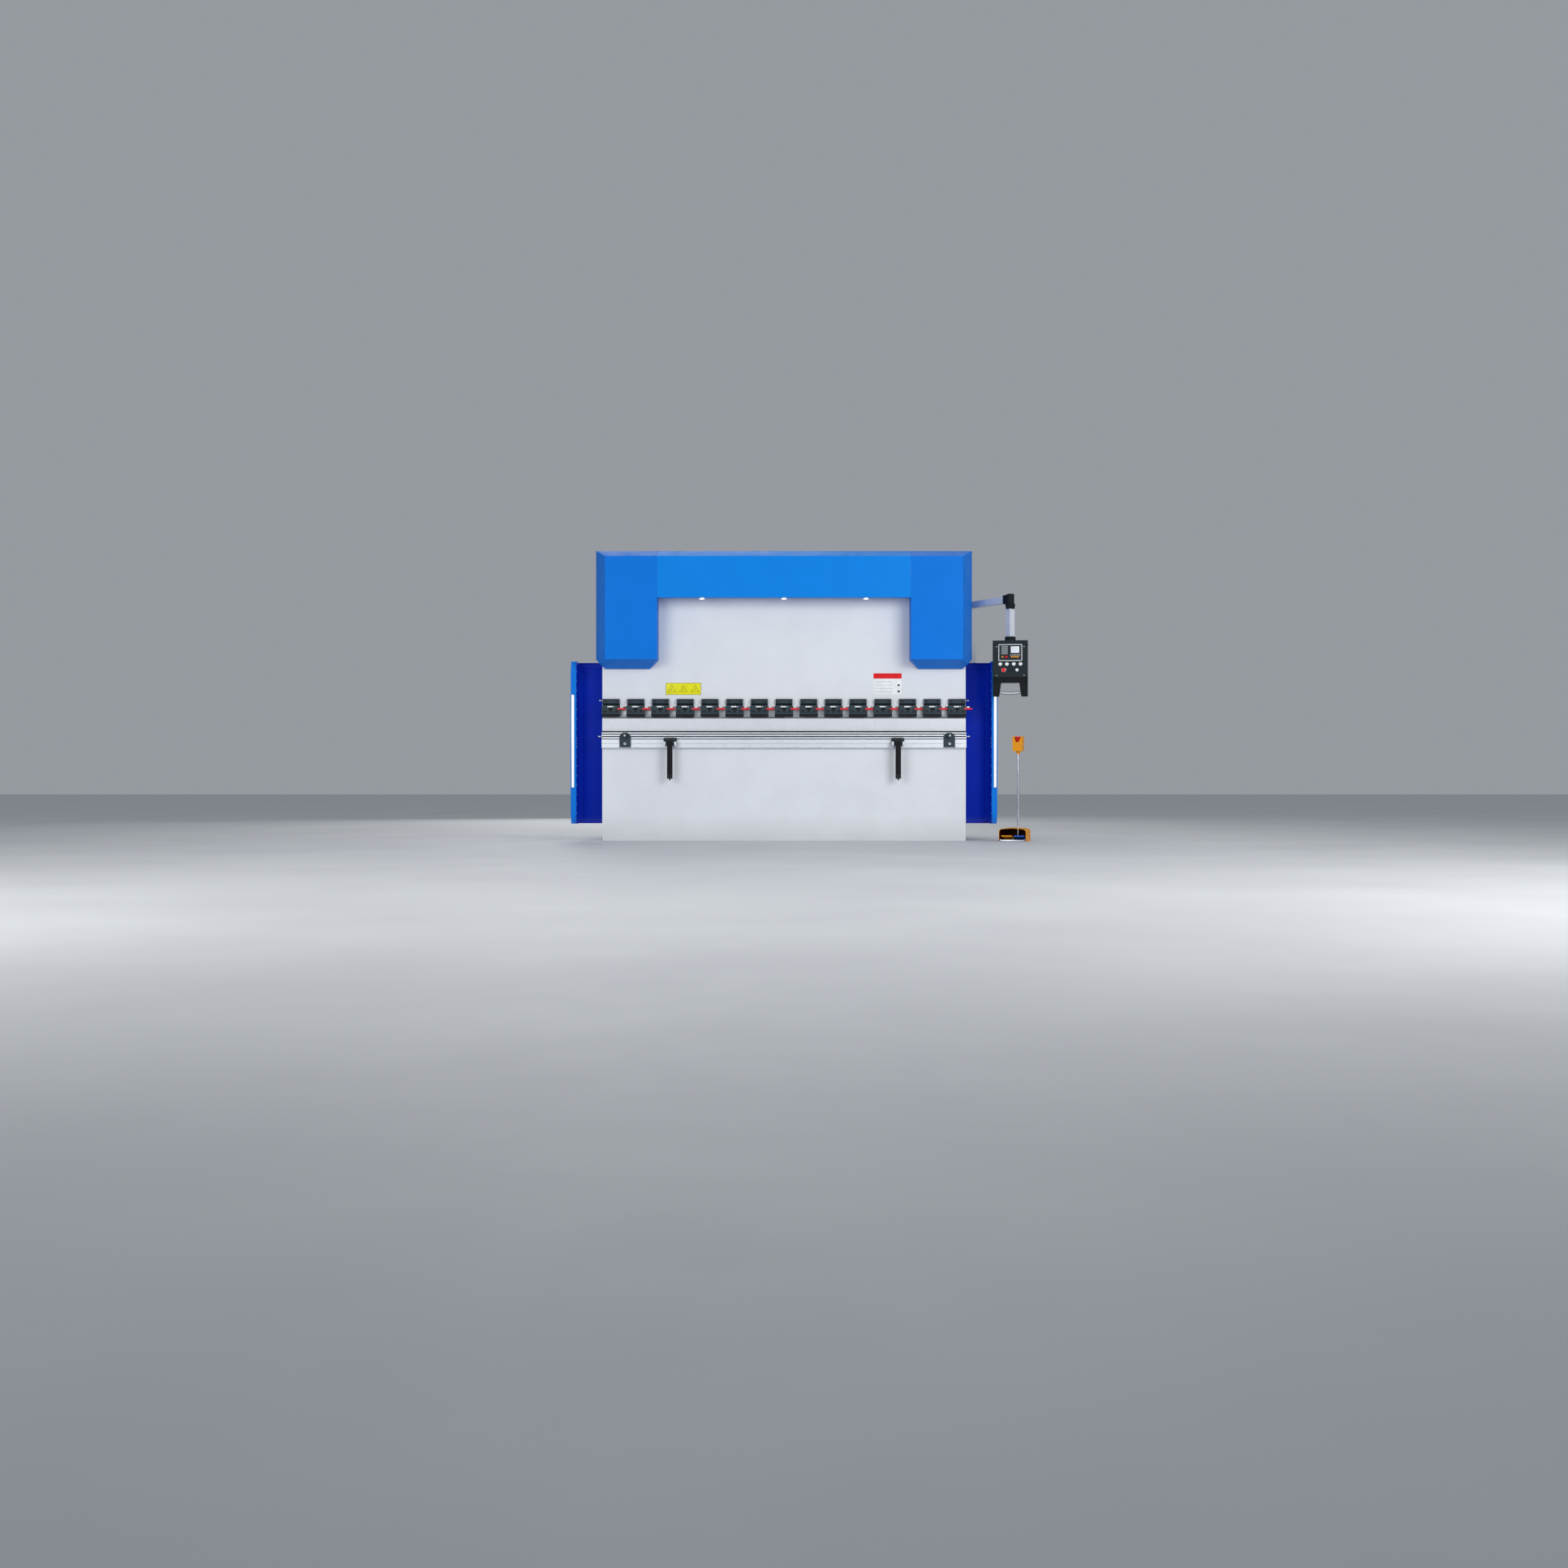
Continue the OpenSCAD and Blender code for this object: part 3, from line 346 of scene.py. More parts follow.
# The cover paint darkened for the guards' inner faces: painted shade.
GUARD_PAINTED_SHADE = PowderCoat(
    "guard_painted_shade", "cover_paint", srgb(0, 44, 188), 0.5, edge_rubbed_and_lit_colour=srgb(20, 80, 215), sheen=0.12)
BED = PowderCoat("bed_paint", "bed_paint", srgb(228, 231, 236), 0.46, 0.08, 0.22, srgb(186, 190, 196))
SLATE = PowderCoat("clamp_finish", "dark_steel", srgb(44, 60, 68), 0.46, 0.14, 0.4, srgb(120, 130, 138))
BLACK_STEEL = PowderCoat(
    "black_steel", "dark_steel", srgb(22, 25, 28), 0.48, 0.14, 0.35, srgb(110, 115, 120))
CABINET = PowderCoat(
    "cabinet_paint", "cabinet_paint", srgb(205, 208, 210), 0.45, 0.16, 0.25, srgb(150, 152, 155))
AMBER = PowderCoat(
    "station_paint", "station_amber", srgb(234, 152, 8), 0.44, 0.10, 0.3, srgb(250, 205, 120),
    sheen=0.2, dust=0.05)
# The amber paint darkened for the foot guard's inner faces: painted shade.
STATION_PAINTED_SHADE = PowderCoat(
    "amber_painted_shade", "station_amber", srgb(70, 24, 4), 0.6, 0.1, 0.1, sheen=0.1, dust=0.0)
FINGER = PowderCoat("finger_paint", "finger_yellow", srgb(240, 196, 20), 0.42)
TOOL_STEEL = BrushedMetal("tool_steel", "bright_steel", srgb(196, 200, 205), 0.34)
DIE_STEEL = BrushedMetal("die_steel", "bright_steel", srgb(218, 221, 227), 0.45, metal=0.4)
CHROME = BrushedMetal("chromed_steel", "bright_steel", srgb(225, 227, 230), 0.14, Axis.Z, 0.03, 0.03)
BOLT_STEEL = BrushedMetal("bolt_steel", "bright_steel", srgb(120, 124, 130), 0.35, Axis.Y)
ZINC = BrushedMetal("zinc_screws", "bright_steel", srgb(200, 205, 215), 0.30, Axis.Z)
RAIL = BrushedMetal("rail_aluminium", "rail_aluminium", srgb(218, 222, 228), 0.42, Axis.X, 0.10, 0.06)
TUBE = BrushedMetal(
    "tube_aluminium", "rail_aluminium", srgb(214, 219, 228), 0.46, Axis.Z, 0.10, 0.06, 0.3)
BRONZE = BrushedMetal("guide_bronze", "guide_bronze", srgb(190, 148, 84), 0.36, Axis.Z)
GROOVE = Moulded("groove_shadow", "dark_steel", srgb(34, 46, 56), 0.7)
PENDANT = Moulded("pendant_plastic", "pendant_plastic", srgb(34, 43, 48), 0.5, 0.2, sheen=0.14)
PENDANT_BLACK = Moulded("pendant_black", "pendant_plastic", srgb(20, 25, 28), 0.5, 0.2, sheen=0.14)
PALE_FRAME = Moulded("bezel_plastic", "button_white", srgb(214, 218, 222), 0.4)
PANEL_DARK = Moulded("panel_foil", "pendant_plastic", srgb(34, 42, 46), 0.35, 0.05)
SCREEN = Moulded("screen_glass", "button_white", srgb(196, 204, 212), 0.12, 0.02, 0.35)
KEY_GREY = Moulded("key_grey", "button_white", srgb(150, 158, 164), 0.45)
KEY_ORANGE = Moulded("key_orange", "station_amber", srgb(240, 160, 50), 0.45)
WHITE = Moulded("white_plastic", "button_white", srgb(238, 239, 238), 0.35, 0.06)
RED = Moulded("signal_red", "signal_red", srgb(232, 16, 28), 0.32, 0.06)
BLUE_PEDAL = Moulded("pedal_blue", "pedal_blue", srgb(40, 96, 200), 0.55, 0.4)
RUBBER = Moulded("black_rubber", "dark_steel", srgb(18, 19, 20), 0.75, 0.5)
LED = Moulded("light_strip", "lamp_white", srgb(255, 248, 226), 0.3, 0.02, 0.8)
LAMP = Moulded("lamp_lens", "lamp_white", srgb(255, 253, 246), 0.2, 0.02, 2.0)
LABEL_YELLOW = Moulded("plate_yellow", "finger_yellow", srgb(238, 232, 20), 0.4, 0.05)
LABEL_WHITE = Moulded("plate_white", "button_white", srgb(240, 242, 243), 0.4, 0.05)
LABEL_RED = Moulded("plate_red", "signal_red", srgb(226, 14, 24), 0.4, 0.05)
LABEL_INK = Moulded("plate_ink", "dark_steel", srgb(40, 42, 30), 0.5, 0.05)
Finish = PowderCoat | BrushedMetal | Moulded


class Paintshop:
    """Makes each finish's material once."""

    _made: dict[str, bpy.types.Material] = {}

    @classmethod
    def get(cls, finish: Finish) -> bpy.types.Material:
        """The material of a finish, built on first use."""
        if finish.name not in cls._made:
            cls._made[finish.name] = finish.material()
        return cls._made[finish.name]


# ---- making pieces ------------------------------------------------------------------
def around(count: int, radius: float) -> list[tuple[float, float]]:
    """Points spaced evenly round a circle."""
    return [(radius * math.cos(2 * math.pi * k / count), radius * math.sin(2 * math.pi * k / count))
            for k in range(count)]


def border(x0: float, x1: float, z0: float, z1: float, width: float) -> list[tuple[Point, Point]]:
    """Corners in X and Z of the four bars of a frame."""
    return [((x0, z0), (x1, z0 + width)), ((x0, z1 - width), (x1, z1)),
            ((x0, z0), (x0 + width, z1)), ((x1 - width, z0), (x1, z1))]


class Workpiece:
    """A mesh piece while it is made. Each shape added takes the finish in use at that moment."""

    def __init__(self, name: str, finish: Finish, turn: Optional[Matrix] = None) -> None:
        """Start an empty piece.

        Args:
            name: The piece's name.
            finish: The first finish.
            turn: A transform that every shape gets.
        """
        self.name = name
        self.mesh = bmesh.new()
        self.finishes = [finish]
        self.current = 0
        self.turn = turn or Matrix.Identity(4)

    def use(self, finish: Finish) -> "Workpiece":
        """Change the finish for the shapes that follow."""
        if finish not in self.finishes:
            self.finishes.append(finish)
        self.current = self.finishes.index(finish)
        return self

    def _take(self, part: bmesh.types.BMesh, bevel: float, steps: int = 2) -> "Workpiece":
        """Round a shape's sharp edges and add it to the piece.

        Args:
            part: The shape, which is used up.
            bevel: Radius of its edges, or 0.
            steps: Facets of the rounding.

        Returns:
            This piece.
        """
        bmesh.ops.recalc_face_normals(part, faces=part.faces)
        if bevel > 0:
            sharp = [e for e in part.edges if len(e.link_faces) == 2 and e.calc_face_angle(0) > 0.6]
            bmesh.ops.bevel(part, geom=sharp, offset=bevel, segments=steps, affect="EDGES",
                            profile=0.5, clamp_overlap=True)
        for face in part.faces:
            face.material_index = self.current
            face.smooth = True
        part.transform(self.turn)
        data = bpy.data.meshes.new("part")
        part.to_mesh(data)
        part.free()
        self.mesh.from_mesh(data)
        bpy.data.meshes.remove(data)
        return self

    def block(self, low: Point, high: Point, bevel: float = 0.0008) -> "Workpiece":
        """Add a box with rounded edges.

        Args:
            low: Lowest corner.
            high: Highest corner.
            bevel: Edge radius.

        Returns:
            This piece.
        """
        part = bmesh.new()
        bmesh.ops.create_cube(part, size=1.0)
        size = Vector(high) - Vector(low)
        middle = (Vector(high) + Vector(low)) / 2
        part.transform(Matrix.Translation(middle) @ Matrix.Diagonal((*size, 1.0)))
        return self._take(part, min(bevel, min(size) * 0.45))

    def slab(self, low: Point, high: Point, front: float, back: float,
             bevel: float = 0.0) -> "Workpiece":
        """Add a box by its corners in X and Z and its depths in Y."""
        return self.block((low[0], front, low[1]), (high[0], back, high[1]), bevel)

    def plate(self, outline: Sequence[Point], front: float, back: float,
              bevel: float = 0.0) -> "Workpiece":
        """Add an outline in X and Z drawn out between two depths.

        Args:
            outline: The corners.
            front: First depth.
            back: Second depth.
            bevel: Edge radius.

        Returns:
            This piece.
        """
        part = bmesh.new()
        near, far = ([part.verts.new((x, y, z)) for x, z in outline] for y in (front, back))
        part.faces.new(near)
        part.faces.new(list(reversed(far)))
        count = len(outline)
        for i in range(count):
            j = (i + 1) % count
            part.faces.new((near[i], far[i], far[j], near[j]))
        return self._take(part, bevel)

    def turned(self, centre: Point, axis: Axis, profile: Sequence[Point],
               steps: int = 32) -> "Workpiece":
        """Add a lathe-turned shape.

        Args:
            centre: The point on the axis that the profile is measured from.
            axis: Direction of the axis.
            profile: Pairs of radius and distance along the axis, ends at radius 0.
            steps: Facets round the shape.

        Returns:
            This piece.
        """
        part = bmesh.new()
        rings = []
        for radius, along in profile:
            if radius < 1e-7:
                rings.append([part.verts.new((0, 0, along))])
            else:
                rings.append([part.verts.new((x, y, along)) for x, y in around(steps, radius)])
        for first, second in zip(rings, rings[1:]):
            for k in range(steps):
                corners = {first[k % len(first)]: 0, first[(k + 1) % len(first)]: 0,
                           second[(k + 1) % len(second)]: 0, second[k % len(second)]: 0}
                if len(corners) > 2:
                    part.faces.new(list(corners))
        turn = {Axis.X: Matrix.Rotation(math.pi / 2, 4, "Y"),
                Axis.Y: Matrix.Rotation(-math.pi / 2, 4, "X"),
                Axis.Z: Matrix.Identity(4)}[axis]
        part.transform(Matrix.Translation(Vector(centre)) @ turn)
        return self._take(part, 0.0)

    def bolt(self, centre: Point, axis: Axis, radius: float, height: float) -> "Workpiece":
        """Add a hexagon bolt head with a washer, standing out along the axis.

        Args:
            centre: Middle of the face that it sits on.
            axis: Direction of the bolt.
            radius: Radius of the head.
            height: Height of the head, negative to stand out the other way.

        Returns:
            This piece.
        """
        lip = math.copysign(min(abs(height) * 0.25, 0.003), height)
        rim, top = radius * 1.35, height * 0.88
        washer = [(0, 0), (rim, 0), (rim, lip * 0.6), (radius * 1.25, lip), (0, lip)]
        head = [(0, lip), (radius, lip), (radius, top), (radius * 0.88, height), (0, height)]
        return self.turned(centre, axis, washer, 24).turned(centre, axis, head, 6)

    def pipe(self, path: Sequence[Point], radius: float, bend: float = 0.04,
             sides: int = 16) -> "Workpiece":
        """Add a rigid pipe along straight runs with round bends.

        Args:
            path: Corner points of the run.
            radius: Pipe radius.
            bend: Bend radius.
            sides: Facets round the pipe.

        Returns:
            This piece.
        """
        corners = [Vector(p) for p in path]
        line = [corners[0]]
        for before, here, after in zip(corners, corners[1:], corners[2:]):
            into = (here - before).normalized()
            out = (after - here).normalized()
            reach = min(bend, (here - before).length * 0.45, (after - here).length * 0.45)
            start, end = here - into * reach, here + out * reach
            for k in range(9):
                t = k / 8
                line.append(start * (1 - t) ** 2 + here * 2 * t * (1 - t) + end * t ** 2)
        line.append(corners[-1])
        part = bmesh.new()
        tangent = (line[1] - line[0]).normalized()
        side = tangent.orthogonal().normalized()
        rings = []
        for i, point in enumerate(line):
            ahead = (line[min(i + 1, len(line) - 1)] - line[max(i - 1, 0)]).normalized()
            side = (side - ahead * side.dot(ahead)).normalized()
            other = ahead.cross(side)
            rings.append([part.verts.new(point + (side * math.cos(a) + other * math.sin(a)) * radius)
                          for a in (2 * math.pi * k / sides for k in range(sides))])
        for first, second in zip(rings, rings[1:]):
            for k in range(sides):
                part.faces.new((first[k], first[(k + 1) % sides], second[(k + 1) % sides], second[k]))
        part.faces.new(list(reversed(rings[0])))
        part.faces.new(rings[-1])
        return self._take(part, 0.0)

    def ride(self, body: str, instead_of: Sequence[str] = ()) -> bpy.types.Object:
        """Finish the piece and let it ride on a body.

        Args:
            body: The body that carries it.
            instead_of: CAD nodes that it stands for.

        Returns:
            The finished object.
        """
        data = bpy.data.meshes.new(self.name)
        self.mesh.to_mesh(data)
        self.mesh.free()
        data.set_sharp_from_angle(angle=math.radians(32))
        obj = bpy.data.objects.new(self.name, data)
        bpy.context.scene.collection.objects.link(obj)
        for finish in self.finishes:
            data.materials.append(Paintshop.get(finish))
        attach(obj, body)
        if instead_of:
            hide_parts(*instead_of)
        log.info("piece %s rides on %s: %d faces", self.name, body, len(data.polygons))
        return obj


@dataclass
class Region:
    """A part of a CAD node, by the places of its faces, that has its own finish."""

    finish: Finish
    holds: Callable[[Vector, Vector], bool]


def dress(node: str, finish: Finish, edge: float = 0.0, regions: Sequence[Region] = ()) -> None:
    """Give a CAD node its finish and soft edges.

    Args:
        node: The node's name.
        finish: Its main finish.
        edge: Radius of its edges in metres, or 0 to leave them.
        regions: Faces with another finish. The last region that holds a face wins.
    """
    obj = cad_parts[node]
    data = obj.data
    data.materials.clear()
    for f in [finish, *(r.finish for r in regions)]:
        data.materials.append(Paintshop.get(f))
    for face in data.polygons:
        face.material_index = 0
        for i, region in enumerate(regions, 1):
            if region.holds(face.center, face.normal):
                face.material_index = i
    if edge > 0:
        custom = data.attributes.get("custom_normal")
        if custom:
            data.attributes.remove(custom)
        data.polygons.foreach_set("use_smooth", [True] * len(data.polygons))
        weld = obj.modifiers.new("Weld", "WELD")
        weld.merge_threshold = 0.00002
        bevel = obj.modifiers.new("Edges", "BEVEL")
        bevel.width = edge
        bevel.segments = 2
        bevel.limit_method = "ANGLE"
        bevel.angle_limit = math.radians(38)
        bevel.use_clamp_overlap = False
        even = obj.modifiers.new("Shading", "WEIGHTED_NORMAL")
        even.keep_sharp = True
    log.info("dressed %s with %s", node, finish.name)


def span(low: Point, high: Point, side: int) -> tuple[tuple, tuple]:
    """A box on the right side of the machine, mirrored for side -1."""
    a, b = sorted((low[0] * side, high[0] * side))
    return (a, *low[1:]), (b, *high[1:])


def past_ends(c: Vector, n: Vector) -> bool:
    """True on the pins that stand out past the ends of the ram and the rail."""
    return abs(c.x) > PLATE_END



# ---- the machine's sub-assemblies ---------------------------------------------------
@dataclass
class Structure:
    """Side frames, bed plate, tie beams, posts and their fasteners."""

    bolt_r: float = 0.012
    bolt_h: float = 0.012
    weld_r: float = 0.005
    weld_start: float = 0.03
    weld_stop: float = 0.06
    bolt_places: tuple = ((1.04, 0.16), (1.04, 0.24), (1.04, 1.54), (1.04, 1.62),
                          (0.48, 1.90), (0.56, 1.90), (0.48, 1.96), (0.56, 1.96))
    cabinet_low: float = 0.65
    cabinet_top: float = 1.80

    def build(self) -> None:
        """Dress the welded structure and add its bolts and weld seams."""
        for node, finish, edge in (
                ("side_frame_left", NAVY, 0.002), ("side_frame_right", NAVY, 0.002),
                ("bed_plate", BED, 0.0015), ("anchor_pads", NAVY, 0.0015),
                ("rear_tie_beams", NAVY, 0.003), ("guard_posts", NAVY, 0.001)):
            dress(node, finish, edge)
        self._welds()
        self._beam_bolts()

    def _welds(self) -> None:
        """Weld beads where the bed plate meets the side frames."""
        seams = Workpiece("weld_seams", NAVY)
        bed_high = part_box("bed_plate")[1]
        back = bed_high.y + self.weld_r * 0.3
        for _, name in SIDES:
            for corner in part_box(f"side_frame_{name}"):
                seams.pipe([(corner.x, back, self.weld_start),
                            (corner.x, back, bed_high.z - self.weld_stop)], self.weld_r, sides=8)
        seams.ride("machine")

    def _beam_bolts(self) -> None:
        """Hexagon bolts through the side frames into the tie beams, none behind the cabinet."""
        bolts = Workpiece("frame_bolts", BOLT_STEEL)
        for side, name in SIDES:
            low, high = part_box(f"side_frame_{name}")
            face = max(low.x * side, high.x * side) * side
            for y, z in self.bolt_places:
                if side < 0 or not self.cabinet_low < z < self.cabinet_top:
                    bolts.bolt((face, y, z), Axis.X, self.bolt_r, self.bolt_h * side)
        bolts.ride("machine")


@dataclass
class Covers:
    """Cylinder covers, middle cover, work lamps and their screws."""

    screw_r: float = 0.0055
    wall_screws: int = 6
    wall_screw_z: float = 1.66
    wall_screw_y: float = 0.115
    roof_gap: float = 0.06
    roof_screw_y: float = 0.17
    hood_screws: tuple = (1.20, 1.38, 1.56)
    fascia_screws: tuple = (-0.9, -0.45, 0.0, 0.45, 0.9)
    ring: tuple = ((0, 0), (1, 0), (1, -0.55), (0.95, -0.75), (0.84, -0.75), (0.84, -0.5), (0, -0.5))
    lens: tuple = ((0, -0.5), (0.82, -0.5), (0.78, -0.82), (0.5, -0.96), (0, -1))

    def build(self) -> None:
        """Dress the covers and add lamps and screws."""
        dress("hoods", COVER, 0.0015)
        # The fascia takes the lighter copy of the cover paint as painted light.
        dress("front_fascia", FASCIA_PAINTED_LIGHT, 0.0015)
        self._lamps()
        self._screws()

    def _lamps(self) -> None:
        """Round lamps with a ring and a glowing domed lens."""
        low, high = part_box("work_lamps")
        radius, tall = (high.y - low.y) / 2, high.z - low.z
        lamps = Workpiece("lamp_rings", ZINC)
        for x in (low.x + radius, (low.x + high.x) / 2, high.x - radius):
            for finish, profile in ((ZINC, self.ring), (LAMP, self.lens)):
                lamps.use(finish).turned((x, (low.y + high.y) / 2, high.z), Axis.Z,
                                         [(r * radius, z * tall) for r, z in profile], 48)
        lamps.ride("machine", ["work_lamps"])

    def _screws(self) -> None:
        """Button-head screws along the roof and the rear edges of the side walls."""
        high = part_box("hoods")[1]
        pitch = (high.z - self.wall_screw_z - self.roof_gap) / (self.wall_screws - 1)
        screws = Workpiece("cover_screws", ZINC)
        for side, _ in SIDES:
            for k in range(self.wall_screws):
                z = self.wall_screw_z + k * pitch
                screws.turned((high.x * side, self.wall_screw_y, z), Axis.X, self._button(side), 20)
            for x in self.hood_screws:
                screws.turned((x * side, self.roof_screw_y, high.z), Axis.Z, self._button(1), 20)
        for x in self.fascia_screws:
            screws.turned((x, self.roof_screw_y, high.z), Axis.Z, self._button(1), 20)
        screws.ride("machine")

    def _button(self, way: int) -> list[tuple[float, float]]:
        """Profile of a low button head with a recess, standing out towards way."""
        r = self.screw_r
        return [(0, 0), (r, 0), (r, 0.001 * way), (r * 0.7, 0.0026 * way), (r * 0.42, 0.003 * way),
                (r * 0.40, 0.0012 * way), (0, 0.0012 * way)]


@dataclass
class Ram:
    """Ram plate, its two small plates, the rods and the guides."""

    plate_t: float = 0.0012
    plate_edge: float = 0.0005
    yellow: tuple = (-1.040, -0.731, 1.286, 1.390)
    white: tuple = (0.788, 1.036, 1.288, 1.475)
    header_z: float = 1.428
    header_t: float = 0.0003
    border_w: float = 0.0022
    triangle_r: float = 0.040
    triangle_drop: float = 0.006

    def __post_init__(self) -> None:
        """Find the ram's front face and the faces of the plates on it."""
        self.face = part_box("ram")[0].y
        self.front = self.face - self.plate_t

    def build(self) -> None:
        """Dress the ram and add its blank plates."""
        dress("ram", BED, 0.0012, [Region(ZINC, past_ends)])
        dress("piston_rods", CHROME)
        dress("guide_shoes", BRONZE, 0.0008)
        dress("guide_rails", TOOL_STEEL, 0.0008)
        self._yellow_plate()
        self._white_plate()

    def _blank(self, name: str, finish: Finish, place: Sequence[float]) -> Workpiece:
        """Start a thin plate on the ram's face.

        Args:
            name: The plate's name.
            finish: Its finish.
            place: Its left, right, lower and upper edges.

        Returns:
            The plate.
        """
        x0, x1, z0, z1 = place
        plate = Workpiece(name, finish)
        return plate.slab((x0, z0), (x1, z1), self.front, self.face + SINK, self.plate_edge)

    def _yellow_plate(self) -> None:
        """Yellow plate with a dark border and three plain triangles."""
        x0, x1, z0, z1 = self.yellow
        sign = self._blank("triangle_plate", LABEL_YELLOW, self.yellow).use(LABEL_INK)
        for low, high in border(x0, x1, z0, z1, self.border_w):
            sign.slab(low, high, self.front - SINK, self.front + SINK)
        for k in range(3):
            cx = x0 + (x1 - x0) * (k + 0.5) / 3
            self._triangle(sign, cx, (z0 + z1) / 2 - self.triangle_drop)
        sign.ride("ram")

    def _triangle(self, sign: Workpiece, cx: float, cz: float) -> None:
        """Add a triangle outline made of three bars, with a plain mark in it.

        Args:
            sign: The piece that it is added to.
            cx: Middle in X.
            cz: Middle in Z.
        """
        size, y = self.triangle_r, self.front - SINK
        inner, back = size * 0.86, y + 0.0004
        for k in range(3):
            a, b = (math.radians(90 + 120 * k), math.radians(210 + 120 * k))
            sign.plate([(cx + r * math.cos(t), cz + r * math.sin(t))
                        for r, t in ((size, a), (size, b), (inner, b), (inner, a))], y, back)
        dot = size * 0.14
        sign.slab((cx - dot / 2, cz - dot), (cx + dot / 2, cz + dot * 1.4), y, back)

    def _white_plate(self) -> None:
        """White plate with a plain red header, faint rule lines and two dark squares."""
        x0, x1, z0, z1 = self.white
        front, back = self.front - SINK, self.front + SINK
        sign = self._blank("header_plate", LABEL_WHITE, self.white)
        sign.use(LABEL_RED).slab((x0, self.header_z), (x1, z1), self.front - self.header_t, back)
        sign.use(KEY_GREY)
        for k in range(4):
            z = z0 + 0.022 + k * 0.030
            sign.slab((x0 + 0.012, z), (x0 + 0.17, z + 0.0025), front, back)
        sign.use(LABEL_INK)
        for k in range(2):
            z = z0 + 0.020 + k * 0.054
            sign.slab((x1 - 0.036, z), (x1 - 0.016, z + 0.016), front, back)
        sign.ride("ram")


@dataclass
class Tooling:
    """Punches, die, clamps, levers and their stickers."""

    label_w: float = 0.047
    label_h: float = 0.011
    label_z: float = 1.179
    label_shift: float = 0.006
    label_t: float = 0.0006
    label_edge: float = 0.0002
    notch_z: tuple = (1.1495, 1.1685)
    notch_y: tuple = (0.0009, 0.0085)
    notch_half: float = 0.0205
    blade_half: float = 0.007
    blade_t: float = 0.0105
    hub: tuple = ((0, 0), (0.0075, 0), (0.009, 0.0015), (0.009, 0.0118),
                  (0.005, 0.0118), (0.005, 0.03), (0, 0.03))
    hub_screw: tuple = ((0, 0), (0.0042, 0), (0.0046, 0.0008), (0, 0.0008))

    def __post_init__(self) -> None:
        """Find the jaws' front face and the middle of each clamp, from the levers' boxes."""
        self.jaw_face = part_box("clamp_jaws")[0].y
        first, last = (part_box(f"clamp_lever_{k:02d}")[0].x for k in (1, 15))
        self.centres = [(k - 7) * ((last - first) / 14) for k in range(15)]

    def build(self) -> None:
        """Dress the tools and clamps and add the clamps' stickers, wedges and levers."""
        dress("punches", TOOL_STEEL, 0.0004)
        dress("lower_die", DIE_STEEL, 0.0008)
        # Front faces of the adapters that slope up or down are painted near-black: painted shade on the
        # chamfers.
        dress("clamp_adapters", SLATE, 0.0010, [
            Region(BLACK_STEEL, lambda c, n: n.y < -0.2 and abs(n.z) > 0.2)])
        # The jaws' lower front chamfers are painted near-black as painted shade.
        dress("clamp_jaws", SLATE, 0.0010, [
            Region(BLACK_STEEL, lambda c, n: n.y < -0.2 and n.z < -0.2), Region(RUBBER, self._painted_shade_notch)])
        dress("clamp_bolts", BLACK_STEEL)
        self._stickers()
        for k in range(1, len(self.centres) + 1):
            self._lever(k)

    def _painted_shade_notch(self, c: Vector, n: Vector) -> bool:
        """True on the walls of a jaw's finger notch, which are painted black as painted shade."""
        return (self.notch_y[0] < c.y - self.jaw_face < self.notch_y[1]
                and self.notch_z[0] < c.z < self.notch_z[1]
                and min(abs(c.x - x) for x in self.centres) < self.notch_half)

    def _stickers(self) -> None:
        """Two blank stickers on each jaw and the bright wedge end beside it."""
        face, z, half = self.jaw_face, self.label_z, self.label_w / 2
        front, back = face - self.label_t, face + SINK
        stickers = Workpiece("clamp_stickers", WHITE)
        ends = Workpiece("wedge_ends", DIE_STEEL)
        for x in self.centres:
            middle = x - self.label_shift
            for x0, x1, rise in ((middle - half, middle + half, self.label_h / 2),
                                 (x + 0.026, x + 0.031, 0.0045)):
                stickers.slab((x0, z - rise), (x1, z + rise), front, back, self.label_edge)
            ends.slab((x + 0.0807, 1.1655), (x + 0.108, 1.1815), face + 0.0055, face + 0.0285, 0.001)
        stickers.ride("ram")
        ends.ride("ram")

    def _lever(self, number: int) -> None:
        """Red lever with a turned hub and a straight blade with a round end.

        Args:
            number: The clamp's number, from 1.
        """
        node = f"clamp_lever_{number:02d}"
        low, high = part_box(node)
        z, r = (low.z + high.z) / 2, self.blade_half
        hub = low.x + (high.z - low.z) / 2
        arc = [(high.x - r + r * math.cos(a), z + r * math.sin(a))
               for a in (math.radians(-90 + 18 * i) for i in range(11))]
        lever = Workpiece(f"lever_{number:02d}", RED)
        lever.plate([(hub, z - r), *arc, (hub, z + r)],
                    low.y + 0.0008, low.y + self.blade_t, 0.0012)
        lever.turned((hub, low.y, z), Axis.Y, self.hub, 32)
        lever.use(BOLT_STEEL).turned((hub, low.y - 0.0006, z), Axis.Y, self.hub_screw, 24)
        lever.ride(node, [node])


